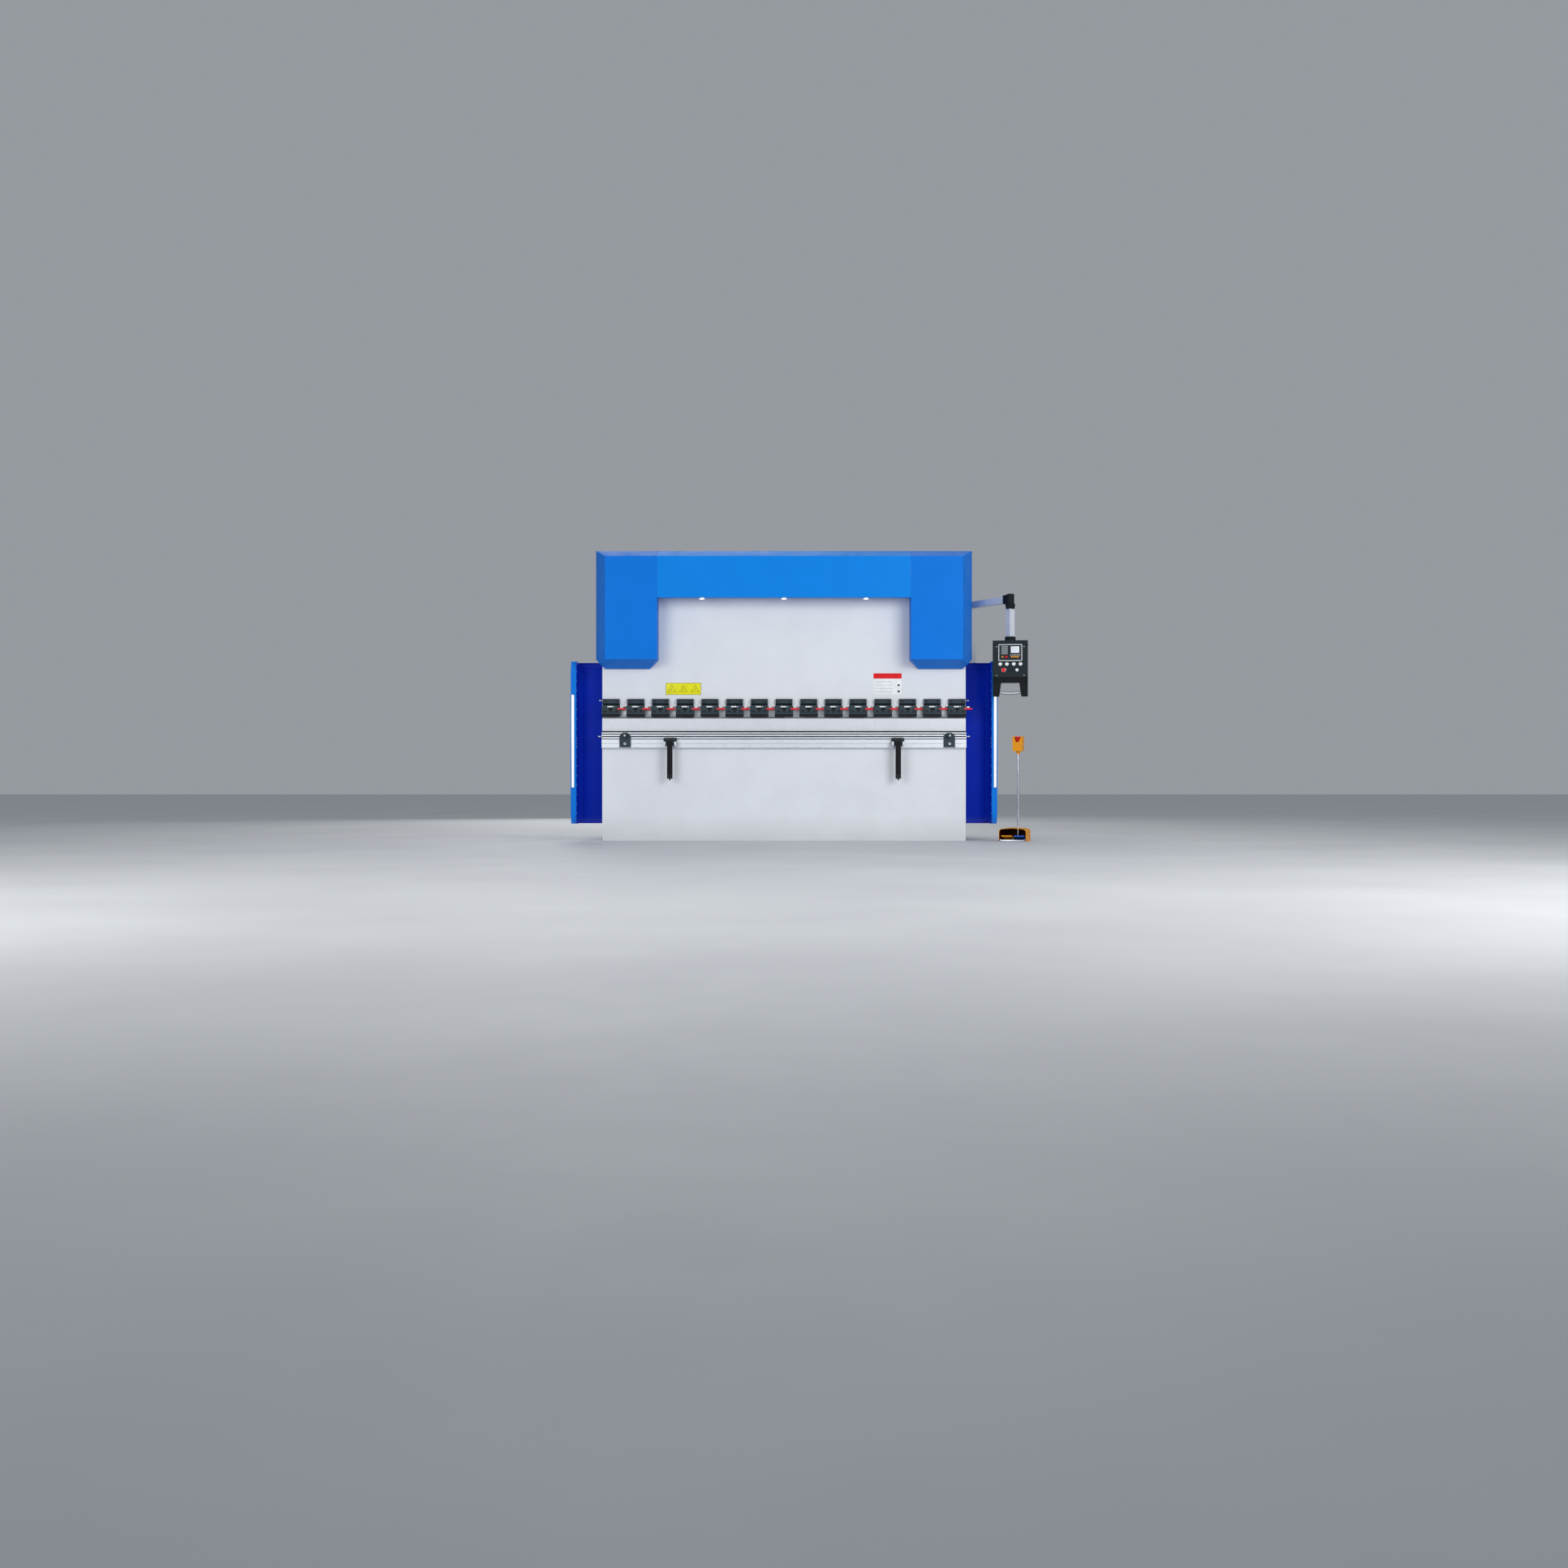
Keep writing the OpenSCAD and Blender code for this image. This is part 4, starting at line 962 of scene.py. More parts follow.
@dataclass
class FrontRail:
    """Slotted rail with its shadowed grooves, stops and sheet supports."""

    washer_y: float = -0.112
    washer_z: float = 0.853
    knob_z: float = 0.924
    knob_x: float = 0.049
    knob_r: float = 0.0195
    knob_ribs: int = 18
    screws: int = 16
    screw_margin: float = 0.12
    screw_z: float = 0.010
    screw: tuple = ((0, 0.0005), (0.003, 0.0005), (0.0034, -0.0006), (0.0052, -0.0006),
                    (0.0058, 0.0004), (0, 0.0008))
    rib: tuple = ((0, -0.013), (0.0018, -0.012), (0.0018, 0.014), (0, 0.015))
    cap: tuple = ((0, -0.0008), (0.008, -0.0008), (0.009, 0.0004), (0, 0.0004))
    washer: tuple = ((0, 0.0004), (0.012, 0.0004), (0.012, -0.0012), (0.011, -0.002), (0, -0.002))
    recess: tuple = ((0, -0.0018), (0.005, -0.0018), (0.005, -0.0026), (0, -0.0026))
    grooves: tuple = ((0.134, 0.147), (0.1145, 0.1235), (0.0897, 0.1057), (0.0735, 0.0805),
                      (0.036, 0.038))

    def __post_init__(self) -> None:
        """Find the rail's corners."""
        self.low, self.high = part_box("front_rail")

    def build(self) -> None:
        """Dress the rail, the stops and the supports."""
        dress("front_rail", RAIL, 0.0, [Region(GROOVE, self._groove), Region(ZINC, past_ends)])
        for node in ("rail_stops", "support_slide_left", "support_slide_right"):
            dress(node, SLATE, 0.0008)
        for node in ("support_arm_left", "support_arm_right"):
            dress(node, BLACK_STEEL, 0.0008)
        self._knobs()
        for _, name in SIDES:
            self._support_trim(name)
        self._screws()

    def _groove(self, c: Vector, n: Vector) -> bool:
        """True on the walls of a groove in the rail's face."""
        return (self.low.y + 0.0009 < c.y < self.high.y - 0.001 and abs(c.x) < 1.599
                and any(a - 0.0005 <= c.z - self.low.z <= b + 0.0005 for a, b in self.grooves))

    def _screws(self) -> None:
        """Countersunk screws that hold the rail, low down on its face."""
        low, high = self.low, self.high
        screws = Workpiece("rail_screws", ZINC)
        for k in range(self.screws):
            x = low.x + self.screw_margin + k * (high.x - low.x - 2 * self.screw_margin) / 15
            screws.turned((x, low.y, low.z + self.screw_z), Axis.Y, self.screw, 20)
        screws.ride("machine")

    def _knobs(self) -> None:
        """Ribbed clamping knobs and washers on the two rail stops, with a black disc of painted shade
        for each washer's recess.
        """
        low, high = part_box("rail_stops")
        knobs = Workpiece("stop_knobs", RUBBER)
        for x in (low.x + self.knob_x, high.x - self.knob_x):
            for dx, dz in around(self.knob_ribs, self.knob_r):
                knobs.turned((x + dx, low.y + 0.016, self.knob_z + dz), Axis.Y, self.rib, 8)
            knobs.use(ZINC).turned((x, low.y, self.knob_z), Axis.Y, self.cap, 24)
            knobs.turned((x, self.washer_y, self.washer_z), Axis.Y, self.washer, 28)
            # Black disc for the washer's recess: painted shade.
            knobs.use(RUBBER).turned((x, self.washer_y, self.washer_z), Axis.Y, self.recess, 20)
        knobs.ride("machine")

    @staticmethod
    def _support_trim(name: str) -> None:
        """Add one support arm's rubber face and its slide's pale angle pieces.

        Args:
            name: The support's side in words.
        """
        low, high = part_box(f"support_arm_{name}")
        pad = Workpiece(f"support_pad_{name}", RUBBER)
        pad.slab((low.x + 0.006, low.z + 0.05), (high.x - 0.006, high.z - 0.03),
                 low.y - 0.002, low.y + 0.001, 0.001)
        pad.ride(f"support_arm_{name}")
        low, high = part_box(f"support_slide_{name}")
        middle = (low.x + high.x) / 2
        angle = Workpiece(f"support_angle_{name}", TUBE)
        for way in (-1, 1):
            a, b = sorted((middle + way * 0.0375, middle + way * 0.0563))
            angle.slab((a, low.z - 0.0006), (b, low.z + 0.0355),
                       high.y - 0.0565, high.y - 0.0135, 0.001)
        angle.ride(f"support_slide_{name}")


@dataclass
class Guards:
    """The two hinged side guards with light strips, screws and inner panels, whose inner faces are
    darkened with painted shade.
    """

    screw_count: int = 16
    screw_pitch: float = 0.083
    screw_top: float = 1.487
    close_screws: tuple = (0.90, 0.022)
    strip_z: tuple = (0.472, 1.279)
    strip_x: float = 0.0195
    rim_half: float = 0.0115
    strip_half: float = 0.0085
    wall_x: float = 0.049
    screw: tuple = ((0, 0), (0.0062, 0), (0.0062, -0.001), (0.004, -0.0035), (0, -0.0038))
    panel_x: float = 1.616
    panel_y: float = 0.110

    def build(self) -> None:
        """Dress both guards and add their trim."""
        for side, name in SIDES:
            node = f"guard_{name}"
            low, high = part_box(node)
            outer = max(abs(low.x), abs(high.x))
            # The guard's inner faces take the darkened cover paint as painted shade.
            dress(node, COVER, 0.0008, [
                Region(GUARD_PAINTED_SHADE, lambda c, n, o=outer: abs(c.x) < o - 0.0455 and c.y > -0.0985)])
            self._trim(side, name, low.y, outer)
            # A thin inner panel in the darkened cover paint: painted shade.
            panel = Workpiece(f"guard_shaded_panel_{name}", GUARD_PAINTED_SHADE)
            panel.block(*span((self.panel_x, self.panel_y - 0.0016, low.z + 0.040),
                              (outer - 0.078, self.panel_y + SINK, high.z - 0.038), side), 0.0007)
            panel.ride(node)

    def _trim(self, side: int, name: str, front: float, outer: float) -> None:
        """Add one guard's light strip in its bright rim, and its row of small screws.

        Args:
            side: 1 for the right guard, -1 for the left.
            name: The guard's side in words.
            front: The guard's front face.
            outer: Distance of its outer edge from the machine's middle.
        """
        middle, (z0, z1) = outer - self.strip_x, self.strip_z
        strip = Workpiece(f"guard_light_{name}", ZINC)
        for finish, half, ends, near, far, edge in (
                (ZINC, self.rim_half, 0.004, 0.0012, 0.0005, 0.0005),
                (LED, self.strip_half, 0.0, 0.0032, -0.001, 0.0009)):
            strip.use(finish).block(*span((middle - half, front - near, z0 - ends),
                                          (middle + half, front + far, z1 + ends), side), edge)
        strip.ride(f"guard_{name}")
        screws = Workpiece(f"guard_screws_{name}", ZINC)
        x, (start, step) = (outer - self.wall_x - SINK) * side, self.close_screws
        head = [(r, out * side) for r, out in self.screw]
        heights = [self.screw_top - k * self.screw_pitch for k in range(self.screw_count)]
        for z in heights + [start - k * step for k in range(4)]:
            screws.turned((x, front + 0.020, z), Axis.X, head, 20)
        screws.ride(f"guard_{name}")


@dataclass
class Pendant:
    """Control case on its arm, with its front panel, keys and grip."""

    yaw: float = math.radians(-8)
    front: float = -0.075
    bezel: tuple = (-0.1015, 0.1015, 1.561, 1.705)
    rim: float = 0.0065
    case_half: float = 0.1505
    grip_z: float = 1.2925
    grip_half: float = 0.096
    grip_bow: float = 0.011
    collar_z: float = 1.7405
    elbow_z: float = 2.061
    cap_z: float = 2.143
    trim_screw: tuple = ((0, 0), (0.0042, 0), (0.0038, -0.0016), (0.0018, -0.0018),
                         (0.0016, -0.0004), (0, -0.0004))
    red_key: tuple = ((0, 0), (0.0095, 0), (0.0095, -0.0025), (0.008, -0.0038), (0, -0.0038))
    collar: tuple = ((0.024, 0), (0.048, 0), (0.048, 0.007), (0.0465, 0.010), (0.0465, 0.030),
                     (0.044, 0.0345), (0.024, 0.0348), (0.024, 0))
    elbow_ring: tuple = ((0, 0), (0.040, 0), (0.042, -0.004), (0.042, -0.022), (0.0385, -0.028),
                         (0.0385, -0.044), (0, -0.044))
    elbow_cap: tuple = ((0, -0.006), (0.034, -0.006), (0.0335, -0.001), (0.028, 0.004),
                        (0.016, 0.0065), (0, 0.007))

    def __post_init__(self) -> None:
        """Work out the case's own frame from its drop tube."""
        self.tube = Vector((1.9613, -0.2502, 0))
        self.turn = Matrix.Translation(self.tube) @ Matrix.Rotation(self.yaw, 4, "Z")

    def build(self) -> None:
        """Dress the pendant and add everything on its face."""
        dress("pendant_post", BLACK_STEEL, 0.001)
        dress("pendant_case", PENDANT, 0.002, [
            Region(PENDANT_BLACK, lambda c, n: c.z < 1.4195 or c.z > 1.741),
            Region(TUBE, lambda c, n: c.z < 1.2945 and abs((self.turn.inverted() @ c).x) < 0.0925)])
        dress("pendant_buttons", WHITE, 0.0006)
        dress("pendant_stop_button", RED, 0.0006)
        dress("pendant_arm", TUBE, 0.0008, [Region(PENDANT_BLACK, self._elbow)])
        self._face()
        self._rings()
        self._shell_lines()
        self._grip()
        self._couplings()

    def _elbow(self, c: Vector, n: Vector) -> bool:
        """True on the faces of the arm's elbow."""
        return c.z > 2.055 and (Vector((c.x, c.y, 0)) - self.tube).length < 0.0625

    def _face(self) -> None:
        """Pale bezel, dark foil, screen, keypad and coloured keys."""
        f, (x0, x1, z0, z1) = self.front, self.bezel
        unit = Workpiece("control_unit", PALE_FRAME, self.turn)
        for low, high in border(x0, x1, z0, z1, self.rim):
            unit.slab(low, high, f - 0.004, f + 0.001, 0.0014)
        for finish, low, high, near, far, edge in (
                (PANEL_DARK, (x0 + 0.005, 0.005), (x1 - 0.005, 0.139), -0.0022, 0.001, 0.0005),
                (PENDANT_BLACK, (-0.004, 0.062), (0.084, 0.131), -0.0034, -0.001, 0.001),
                (SCREEN, (0.004, 0.068), (0.076, 0.125), -0.0042, -0.003, 0.0008)):
            unit.use(finish).slab((low[0], z0 + low[1]), (high[0], z0 + high[1]),
                                  f + near, f + far, edge)
        unit.use(KEY_GREY)
        for column in range(4):
            for row in range(6):
                x, z = -0.074 + column * 0.0135, z0 + 0.058 + row * 0.0125
                unit.slab((x, z), (x + 0.0105, z + 0.0095), f - 0.0042, f - 0.0015, 0.0009)
        unit.use(KEY_ORANGE)
        for x in (-0.074, 0.004, 0.022, 0.040, 0.058):
            unit.slab((x, z0 + 0.030), (x + 0.0155, z0 + 0.041), f - 0.0042, f - 0.0015, 0.001)
        unit.use(RED).turned((-0.034, f - 0.0015, z0 + 0.0355), Axis.Y, self.red_key, 28)
        unit.use(WHITE)
        for k in range(5):
            x = k * 0.018
            unit.slab((x, z0 + 0.048), (x + 0.009, z0 + 0.054), f - 0.004, f - 0.0015, 0.0006)
        unit.ride("pendant_case")

    def _rings(self) -> None:
        """Metal rings round the push buttons."""
        rings = Workpiece("button_rings", ZINC, self.turn)
        places = [(x, 1.534, 0.0140) for x in (-0.086, -0.029, 0.029, 0.086)]
        places += [(-0.057, 1.483, 0.0170), (0.057, 1.483, 0.0125)]
        for x, z, inner in places:
            r = inner + 0.0022
            rings.turned((x, self.front, z), Axis.Y, [
                (inner, 0.0004), (r, 0.0004), (r, -0.0014), (r * 0.9, -0.0024),
                (inner, -0.0024), (inner, 0.0004)], 36)
        rings.ride("pendant_case")

    def _shell_lines(self) -> None:
        """Raised frame of the front, parting bands, corner screws and feet of the legs."""
        f, w = self.front, self.case_half
        shell = Workpiece("case_trim", PENDANT_BLACK, self.turn)
        for z0, z1 in ((1.699, 1.7035), (1.4165, 1.4205)):
            shell.slab((-w - 0.0015, z0), (w + 0.0015, z1), f - 0.002, f + 0.030, 0.001)
        shell.use(PENDANT)
        for x in (-w + 0.012, w - 0.022):
            shell.slab((x, 1.424), (x + 0.010, 1.696), f - 0.0022, f + 0.002, 0.0015)
        shell.use(ZINC)
        for x in (-w + 0.033, w - 0.033):
            for z in (1.436, 1.684):
                shell.turned((x, f, z), Axis.Y, self.trim_screw, 20)
        shell.use(RUBBER)
        for x in (-w + 0.0285, w - 0.0285):
            shell.slab((x - 0.026, 1.2575), (x + 0.026, 1.2605), f + 0.016, f + 0.088, 0.001)
        shell.ride("pendant_case")

    def _grip(self) -> None:
        """Bowed grip between the legs, with a dark line along its top and bottom."""
        y, half = self.front + 0.040, self.grip_half
        grip = Workpiece("case_grip", TUBE, self.turn)
        for finish, rise, radius in ((TUBE, 0.0, 0.0085), (PENDANT_BLACK, 0.0095, 0.0022),
                                     (PENDANT_BLACK, -0.0095, 0.0022)):
            end, middle = self.grip_z + rise, self.grip_z - self.grip_bow + rise
            grip.use(finish).pipe([(-half, y, end), (0, y, middle), (half, y, end)], radius, 0.08)
        grip.ride("pendant_case")

    def _couplings(self) -> None:
        """Rounded collars at the top and bottom of the drop tube."""
        x, y, _ = self.tube
        low = Workpiece("tube_collar", PENDANT_BLACK)
        low.turned((x, y, self.collar_z), Axis.Z, self.collar, 40)
        low.ride("pendant_case")
        top = Workpiece("elbow_collar", PENDANT_BLACK)
        top.turned((x, y, self.elbow_z), Axis.Z, self.elbow_ring, 40)
        top.turned((x, y, self.cap_z), Axis.Z, self.elbow_cap, 40)
        top.ride("pendant_arm")


@dataclass
class FootStation:
    """Pedal box with its chromed post and stop switch."""

    yaw: float = math.radians(-20)
    centre: Point = (2.010, -0.180, 0.0)
    pedal_tilt: float = math.radians(-12)
    hinge: Point = (0.059, 0.040, 0.022)
    treads: int = 9
    tread_pitch: float = 0.011
    lip_half: float = 0.108

    def __post_init__(self) -> None:
        """Work out the station's own frame."""
        self.turn = Matrix.Translation(Vector(self.centre)) @ Matrix.Rotation(self.yaw, 4, "Z")
        self.back = self.turn.inverted()
        self.post = Vector((0.018, 0.068, 0))

    def build(self) -> None:
        """Dress the station by zones and add its treads and base lip."""
        dress("station_case", AMBER, 0.0, [
            # The inner faces take the darkened amber as painted shade.
            Region(STATION_PAINTED_SHADE, self._in_painted_shade),
            Region(ZINC, lambda c, n: c.z < 0.0052),
            Region(BLACK_STEEL, lambda c, n: abs((self.back @ c).x) < 0.0125 and 0.0052 < c.z < 0.057
                   and -0.090 < (self.back @ c).y < 0.052),
            Region(CHROME, self._on_post)])
        dress("station_pedal_left", AMBER, 0.0006)
        dress("station_pedal_right", BLUE_PEDAL, 0.0006)
        dress("station_stop_button", RED)
        self._treads()
        self._base_lip()

    def _on_post(self, c: Vector, n: Vector) -> bool:
        """True on the chromed post."""
        p = self.back @ c
        return (Vector((p.x, p.y, 0)) - self.post).length < 0.0106 and c.z < 0.770

    def _in_painted_shade(self, c: Vector, n: Vector) -> bool:
        """True on the inner faces of the foot guard, which are darkened with painted shade."""
        p = self.back @ c
        way = self.turn.to_3x3().inverted() @ n
        inward = way.x * p.x < -0.001 or way.z < -0.2 or (way.y < -0.5 and p.y > 0)
        return 0.006 < p.z < 0.118 and inward and abs(p.x) < 0.118

    def _treads(self) -> None:
        """Ribbed rubber treads on both pedals."""
        tilt = Matrix.Rotation(self.pedal_tilt, 4, "X")
        x, y, z = self.hinge
        for side, name in SIDES:
            place = self.turn @ Matrix.Translation((side * x, y, z)) @ tilt
            tread = Workpiece(f"pedal_tread_{name}", BLUE_PEDAL if side > 0 else AMBER, place)
            for k in range(self.treads):
                front = -0.113 + k * self.tread_pitch
                tread.block((-0.040, front, 0.0055), (0.040, front + 0.006, 0.0082), 0.001)
            tread.ride(f"station_pedal_{name}")

    def _base_lip(self) -> None:
        """Folded lip of the base plate along its front."""
        half = self.lip_half
        lip = Workpiece("station_base_lip", ZINC, self.turn)
        lip.block((-half, -0.1035, 0.0005), (half, -0.0990, 0.017), 0.001)
        for x in (-half, half - 0.004):
            lip.block((x, -0.1035, 0.0005), (x + 0.004, -0.094, 0.022), 0.001)
        lip.ride("foot_station")


@dataclass
class Hydraulics:
    """Cylinders, valves, tank, pump and the rigid pipes between them."""

    pipe_r: float = 0.011
    pipe_z: float = 2.385
    pipe_step: float = 0.02
    rib_count: int = 26
    shaft: tuple = (0.520, 2.140)
    pump_x: float = 0.36
    cylinder_x: float = 1.40
    tank_top: float = 2.300
    filler: Point = (-0.8, 0.52, 2.312)
    cowl: tuple = ((0.108, 0), (0.1165, 0), (0.1165, 0.030), (0.108, 0.044), (0.02, 0.046), (0, 0.046))
    union: tuple = ((0.011, -0.018), (0.021, -0.018), (0.021, 0.006), (0.017, 0.010),
                    (0.011, 0.010), (0.011, -0.018))
    cap_rib: tuple = ((0, -0.006), (0.003, -0.005), (0.003, 0.024), (0, 0.026))
    coil: tuple = ((0, 0), (0.027, 0), (0.027, 0.036), (0.024, 0.040), (0, 0.040))

    def build(self) -> None:
        """Dress the hydraulics and add ribs, pipes, caps and coils."""
        dress("cylinder_barrels", BLACK_STEEL, 0.001)
        dress("valve_blocks", TOOL_STEEL, 0.0008)
        dress("oil_tank", NAVY, 0.0012)
        dress("pump_motor", SLATE, 0.0)
        self._motor()
        self._pipes()
        self._tank_trim()
        self._coils()

    def _motor(self) -> None:
        """Cooling ribs, fan cowl slots drawn as black rings of painted shade, and terminal box lid of
        the motor.
        """
        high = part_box("pump_motor")[1]
        y, z = self.shaft
        motor = Workpiece("motor_ribs", SLATE)
        for k in range(self.rib_count):
            a = 2 * math.pi * k / self.rib_count
            if math.sin(a) > 0.53 or math.sin(a) < -0.75:
                continue
            motor.turn = Matrix.Translation((0, y, z)) @ Matrix.Rotation(a, 4, "X")
            motor.block((0.545, 0.105, -0.0018), (0.800, 0.122, 0.0018), 0.0008)
        motor.turn = Matrix.Identity(4)
        motor.turned((high.x - 0.045, y, z), Axis.X, self.cowl, 48)
        # Black rings for the cowl slots: painted shade.
        motor.use(RUBBER)
        for r in (0.032, 0.056, 0.080):
            motor.turned((high.x - 0.0005, y, z), Axis.X, [
                (r, 0), (r + 0.010, 0), (r + 0.010, 0.0016), (r, 0.0016), (r, 0)], 40)
        lid = high.z + 0.006
        motor.use(BLACK_STEEL).block((0.616, 0.466, high.z - 0.004), (0.764, 0.574, lid), 0.002)
        motor.use(ZINC)
        for x in (0.628, 0.752):
            for screw_y in (0.478, 0.562):
                motor.bolt((x, screw_y, lid), Axis.Z, 0.004, 0.004)
        motor.ride("machine")

    def _pipes(self) -> None:
        """Pressure pipes from the pump to the two valve blocks."""
        z = self.pipe_z
        pipes = Workpiece("pressure_pipes", CHROME)
        for side, _ in SIDES:
            x, aside = self.cylinder_x * side, self.pipe_step * side
            y, top = self.shaft[0] + aside, z + aside
            pipes.use(CHROME).pipe([(self.pump_x, y, 2.175), (self.pump_x, y, top), (x, y, top),
                                    (x, 0.30, top), (x, 0.30, z), (x, 0.128, z)], self.pipe_r)
            pipes.use(ZINC).turned((x, 0.150, z), Axis.Y, self.union, 6)
        pipes.ride("machine")

    def _tank_trim(self) -> None:
        """Lid flange with bolts, sight glass, filler cap ribs and a blank plate."""
        top = self.tank_top
        trim = Workpiece("tank_trim", NAVY)
        trim.block((-1.006, 0.314, top - 0.004), (0.306, 0.726, top + 0.006), 0.002)
        trim.use(ZINC)
        for k in range(10):
            for y in (0.326, 0.714):
                trim.bolt((-0.98 + k * 0.14, y, top + 0.006), Axis.Z, 0.006, 0.005)
        for finish, low, high, edge in (
                (WHITE, (-0.90, 0.7195, 2.06), (-0.86, 0.727, 2.24), 0.002),
                (RUBBER, (-0.887, 0.7265, 2.08), (-0.873, 0.7275, 2.22), 0.0004),
                (ZINC, (-0.10, 0.7195, 2.10), (0.06, 0.7215, 2.20), 0.0006)):
            trim.use(finish).block(low, high, edge)
        trim.use(BLACK_STEEL)
        x, y, z = self.filler
        for dx, dy in around(20, 0.0445):
            trim.turned((x + dx, y + dy, z), Axis.Z, self.cap_rib, 8)
        trim.ride("machine")

    def _coils(self) -> None:
        """Solenoid coils with plugs on the valve blocks."""
        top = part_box("valve_blocks")[1].z
        coils = Workpiece("valve_coils", BLACK_STEEL)
        for side, _ in SIDES:
            for dx in (-0.035, 0.035):
                x = self.cylinder_x * side + dx
                coils.use(BLACK_STEEL).turned((x, 0, top - 0.050), Axis.Z, self.coil, 28)
                coils.use(KEY_GREY).block((x - 0.014, 0.020, top - 0.042),
                                          (x + 0.014, 0.052, top - 0.016), 0.003)
        coils.ride("machine")


@dataclass
class BackGauge:
    """Gauge guides, beam and finger stops."""

    cap_t: float = 0.004
    beam_screws: int = 13
    screw_margin: float = 0.12
    knob: tuple = ((0, -0.0004), (0.010, -0.0004), (0.010, 0.008), (0.019, 0.012), (0.019, 0.026),
                   (0.015, 0.030), (0, 0.031))

    def build(self) -> None:
        """Dress the gauge and add end caps, screws and finger knobs."""
        dress("gauge_guides", TOOL_STEEL, 0.0008)
        dress("gauge_beam", RAIL, 0.001)
        self._beam_trim()
        for _, name in SIDES:
            self._finger(f"gauge_finger_{name}", f"finger_knob_{name}")

    def _beam_trim(self) -> None:
        """End caps with their bolts and a row of screws along the beam."""
        low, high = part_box("gauge_beam")
        caps = Workpiece("beam_caps", BLACK_STEEL)
        for x, way in ((low.x, -1), (high.x, 1)):
            a, b = sorted((x - way * 0.0005, x + way * self.cap_t))
            caps.block((a, low.y - 0.001, high.z - 0.101), (b, high.y + 0.001, high.z), 0.001)
            for y in (low.y + 0.014, high.y - 0.014):
                for z in (high.z - 0.086, high.z - 0.014):
                    caps.bolt((x + way * self.cap_t, y, z), Axis.X, 0.004, 0.003 * way)
        caps.use(ZINC)
        for k in range(self.beam_screws):
            x = low.x + self.screw_margin + k * (high.x - low.x - 2 * self.screw_margin) / 12
            caps.bolt((x, high.y, high.z - 0.05), Axis.Y, 0.005, 0.004)
        caps.ride("gauge_beam")

    def _finger(self, node: str, knob_name: str) -> None:
        """Dress one finger stop and add its knob and bolts.

        Args:
            node: The finger's node.
            knob_name: The knob's name.
        """
        low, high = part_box(node)
        dress(node, FINGER, 0.001, [Region(TOOL_STEEL, lambda c, n: c.y < 0.0902)])
        x = (low.x + high.x) / 2
        knob = Workpiece(knob_name, RUBBER)
        knob.turned((x, high.y - 0.04, high.z), Axis.Z, self.knob, 24)
        knob.use(ZINC)
        for dx in (-0.022, 0.022):
            knob.bolt((x + dx, low.y + 0.225, high.z), Axis.Z, 0.005, 0.005)
        knob.ride(node)


@dataclass
class Cabinet:
    """Electrical cabinet with louvres, latch, hinges and a blank plate."""

    face: float = 1.7563
    louvres: int = 7
    louvre_pitch: float = 0.022
    banks: tuple = (0.86, 1.56)
    louvre_y: tuple = (0.66, 0.86)
    latch: tuple = ((0, 0), (0.011, 0), (0.011, 0.004), (0.008, 0.006), (0.003, 0.006),
                    (0.003, 0.002), (0, 0.002))
    louvre: tuple = ((-0.0004, 0), (0.0060, 0), (0.0060, 0.0015), (0.0018, 0.012), (-0.0004, 0.014))

    def build(self) -> None:
        """Dress the cabinet and its door and add their trim."""
        dress("cabinet_body", CABINET, 0.001, [
            Region(TOOL_STEEL, lambda c, n: 1.4815 < c.x < 1.4845),
            Region(KEY_GREY, lambda c, n: 1.4845 < c.x < 1.70 and 0.48 < c.y < 1.02
                   and 0.70 < c.z < 1.75),
            Region(ZINC, lambda c, n: c.z < 0.6495 or c.y > 1.0505)])
        dress("cabinet_door", CABINET, 0.001)
        face = self.face
        door = Workpiece("door_trim", CABINET)
        for bank in self.banks:
            for k in range(self.louvres):
                z = bank + k * self.louvre_pitch
                outline = [(face + out, z + rise) for out, rise in self.louvre]
                door.plate(outline, *self.louvre_y)
        door.use(RUBBER).block((face - SINK, 0.4515, 0.6515), (face + 0.0004, 0.4535, 1.7955), 0)
        door.use(ZINC).turned((face + 0.008, 0.493, 1.240), Axis.X, self.latch, 28)
        door.use(WHITE).block((face, 0.62, 1.38), (face + 0.0012, 0.86, 1.46), 0.0004)
        door.ride("cabinet_door")


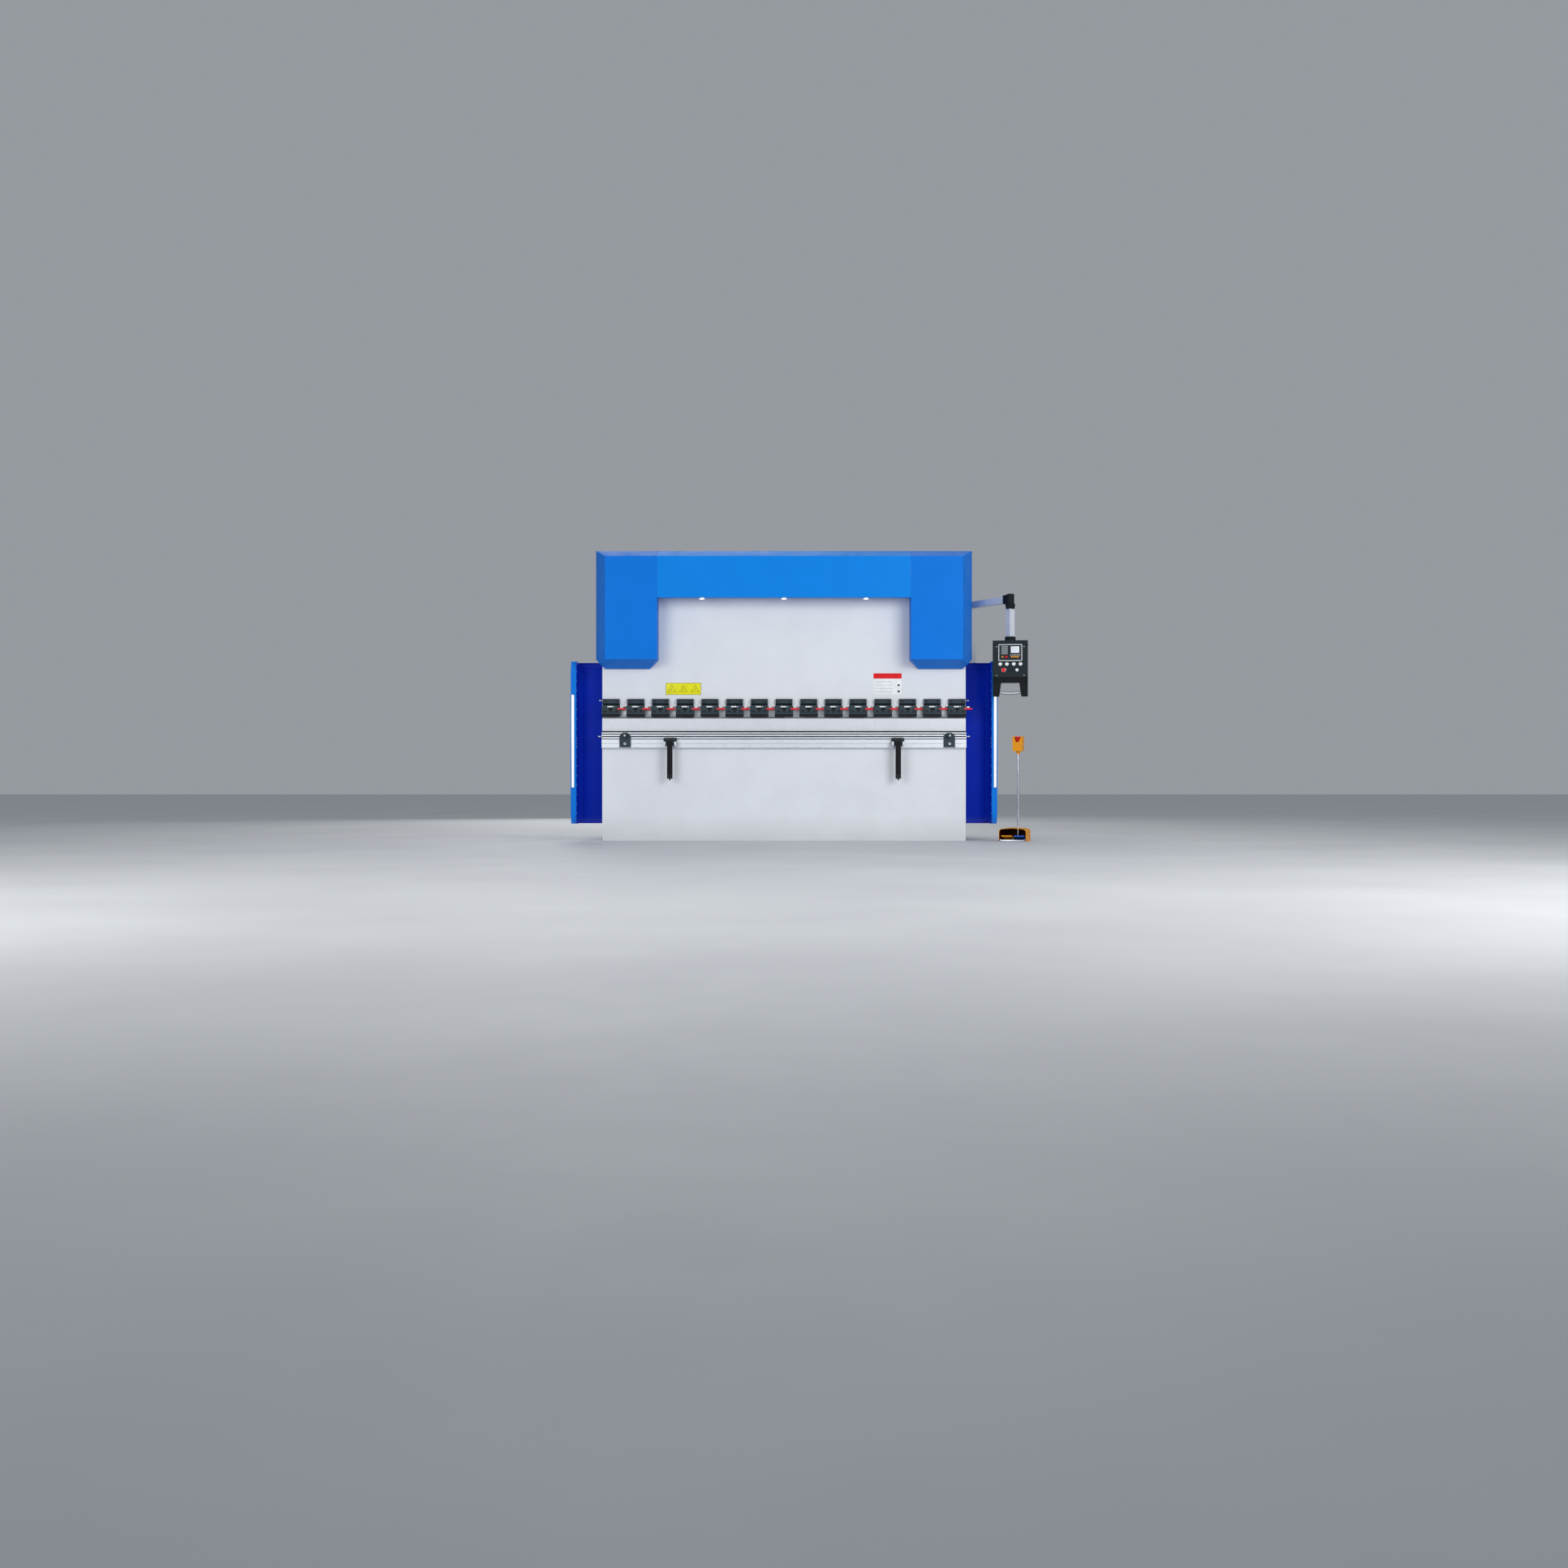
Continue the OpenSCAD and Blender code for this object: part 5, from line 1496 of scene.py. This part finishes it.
@dataclass
class Studio:
    """Floor, light and camera."""

    eye: Point = (0.0, -13.467, 0.5)
    lens: float = 35.0
    sensor: float = 36.0
    far: float = 200.0
    floor_half: float = 60.0
    sky_strength: float = 0.42

    def build(self) -> None:
        """Set up the camera, the floor, the world and the lights."""
        self._camera()
        self._floor()
        self._world()
        self._lamp("key_light", (5.5, -8.5, 3.8), (0, 0, 1.2), 5.0, 430)
        self._lamp("fill_light", (-5.5, -9.0, 3.0), (0, 0, 1.1), 4.5, 270)
        self._lamp("top_light", (0.0, 2.0, 6.5), (0, 0, 1.0), 6.0, 80)
        self._lamp("rear_light", (-2.0, 8.0, 4.0), (0, 0, 1.2), 5.0, 170)

    def _camera(self) -> None:
        """Level camera in front of the machine."""
        data = bpy.data.cameras.new("view_camera")
        data.lens = self.lens
        data.sensor_width = self.sensor
        data.clip_end = self.far
        camera = bpy.data.objects.new("view_camera", data)
        camera.location = self.eye
        camera.rotation_euler = (math.pi / 2, 0, 0)
        scene = bpy.context.scene
        scene.collection.objects.link(camera)
        scene.camera = camera
        scene.view_settings.view_transform = "Standard"

    def _floor(self) -> None:
        """Wide pale floor."""
        data = bpy.data.meshes.new("floor")
        half = self.floor_half
        data.from_pydata([(-half, -half, 0), (half, -half, 0), (half, half, 0), (-half, half, 0)],
                         [], [(0, 1, 2, 3)])
        floor = bpy.data.objects.new("floor", data)
        bpy.context.scene.collection.objects.link(floor)
        g = Graph("floor_paint")
        colour = g.blend(g.span(g.noise(0.8, 4), 0, 1), srgb(206, 208, 211), srgb(216, 218, 220))
        rough = g.span(g.noise(5, 4), 0.62, 0.76)
        data.materials.append(g.done(colour, rough, g.bump(g.noise(30, 3), 0.03, 0.002)))

    def _world(self) -> None:
        """Even pale surroundings."""
        world = bpy.data.worlds.new("soft_surroundings")
        world.use_nodes = True
        sky = world.node_tree.nodes["Background"]
        sky.inputs["Color"].default_value = (*srgb(222, 228, 236), 1.0)
        sky.inputs["Strength"].default_value = self.sky_strength
        bpy.context.scene.world = world

    @staticmethod
    def _lamp(name: str, place: Point, aim: Point, size: float, power: float) -> None:
        """Add a square soft light.

        Args:
            name: The light's name.
            place: Where it stands.
            aim: The point that it faces.
            size: Edge length.
            power: Power in watts.
        """
        data = bpy.data.lights.new(name, "AREA")
        data.size = size
        data.energy = power
        lamp = bpy.data.objects.new(name, data)
        lamp.location = place
        lamp.rotation_euler = (Vector(aim) - Vector(place)).to_track_quat("-Z", "Y").to_euler()
        bpy.context.scene.collection.objects.link(lamp)


def main() -> None:
    """Build the sub-assemblies in order."""
    logging.basicConfig(level=logging.INFO, format="%(message)s")
    for kind in (Studio, Structure, Covers, Ram, Tooling, FrontRail, Guards, Pendant,
                 FootStation, Hydraulics, BackGauge, Cabinet):
        log.info("building %s", kind.__name__)
        kind().build()


if __name__ == "__main__":
    main()
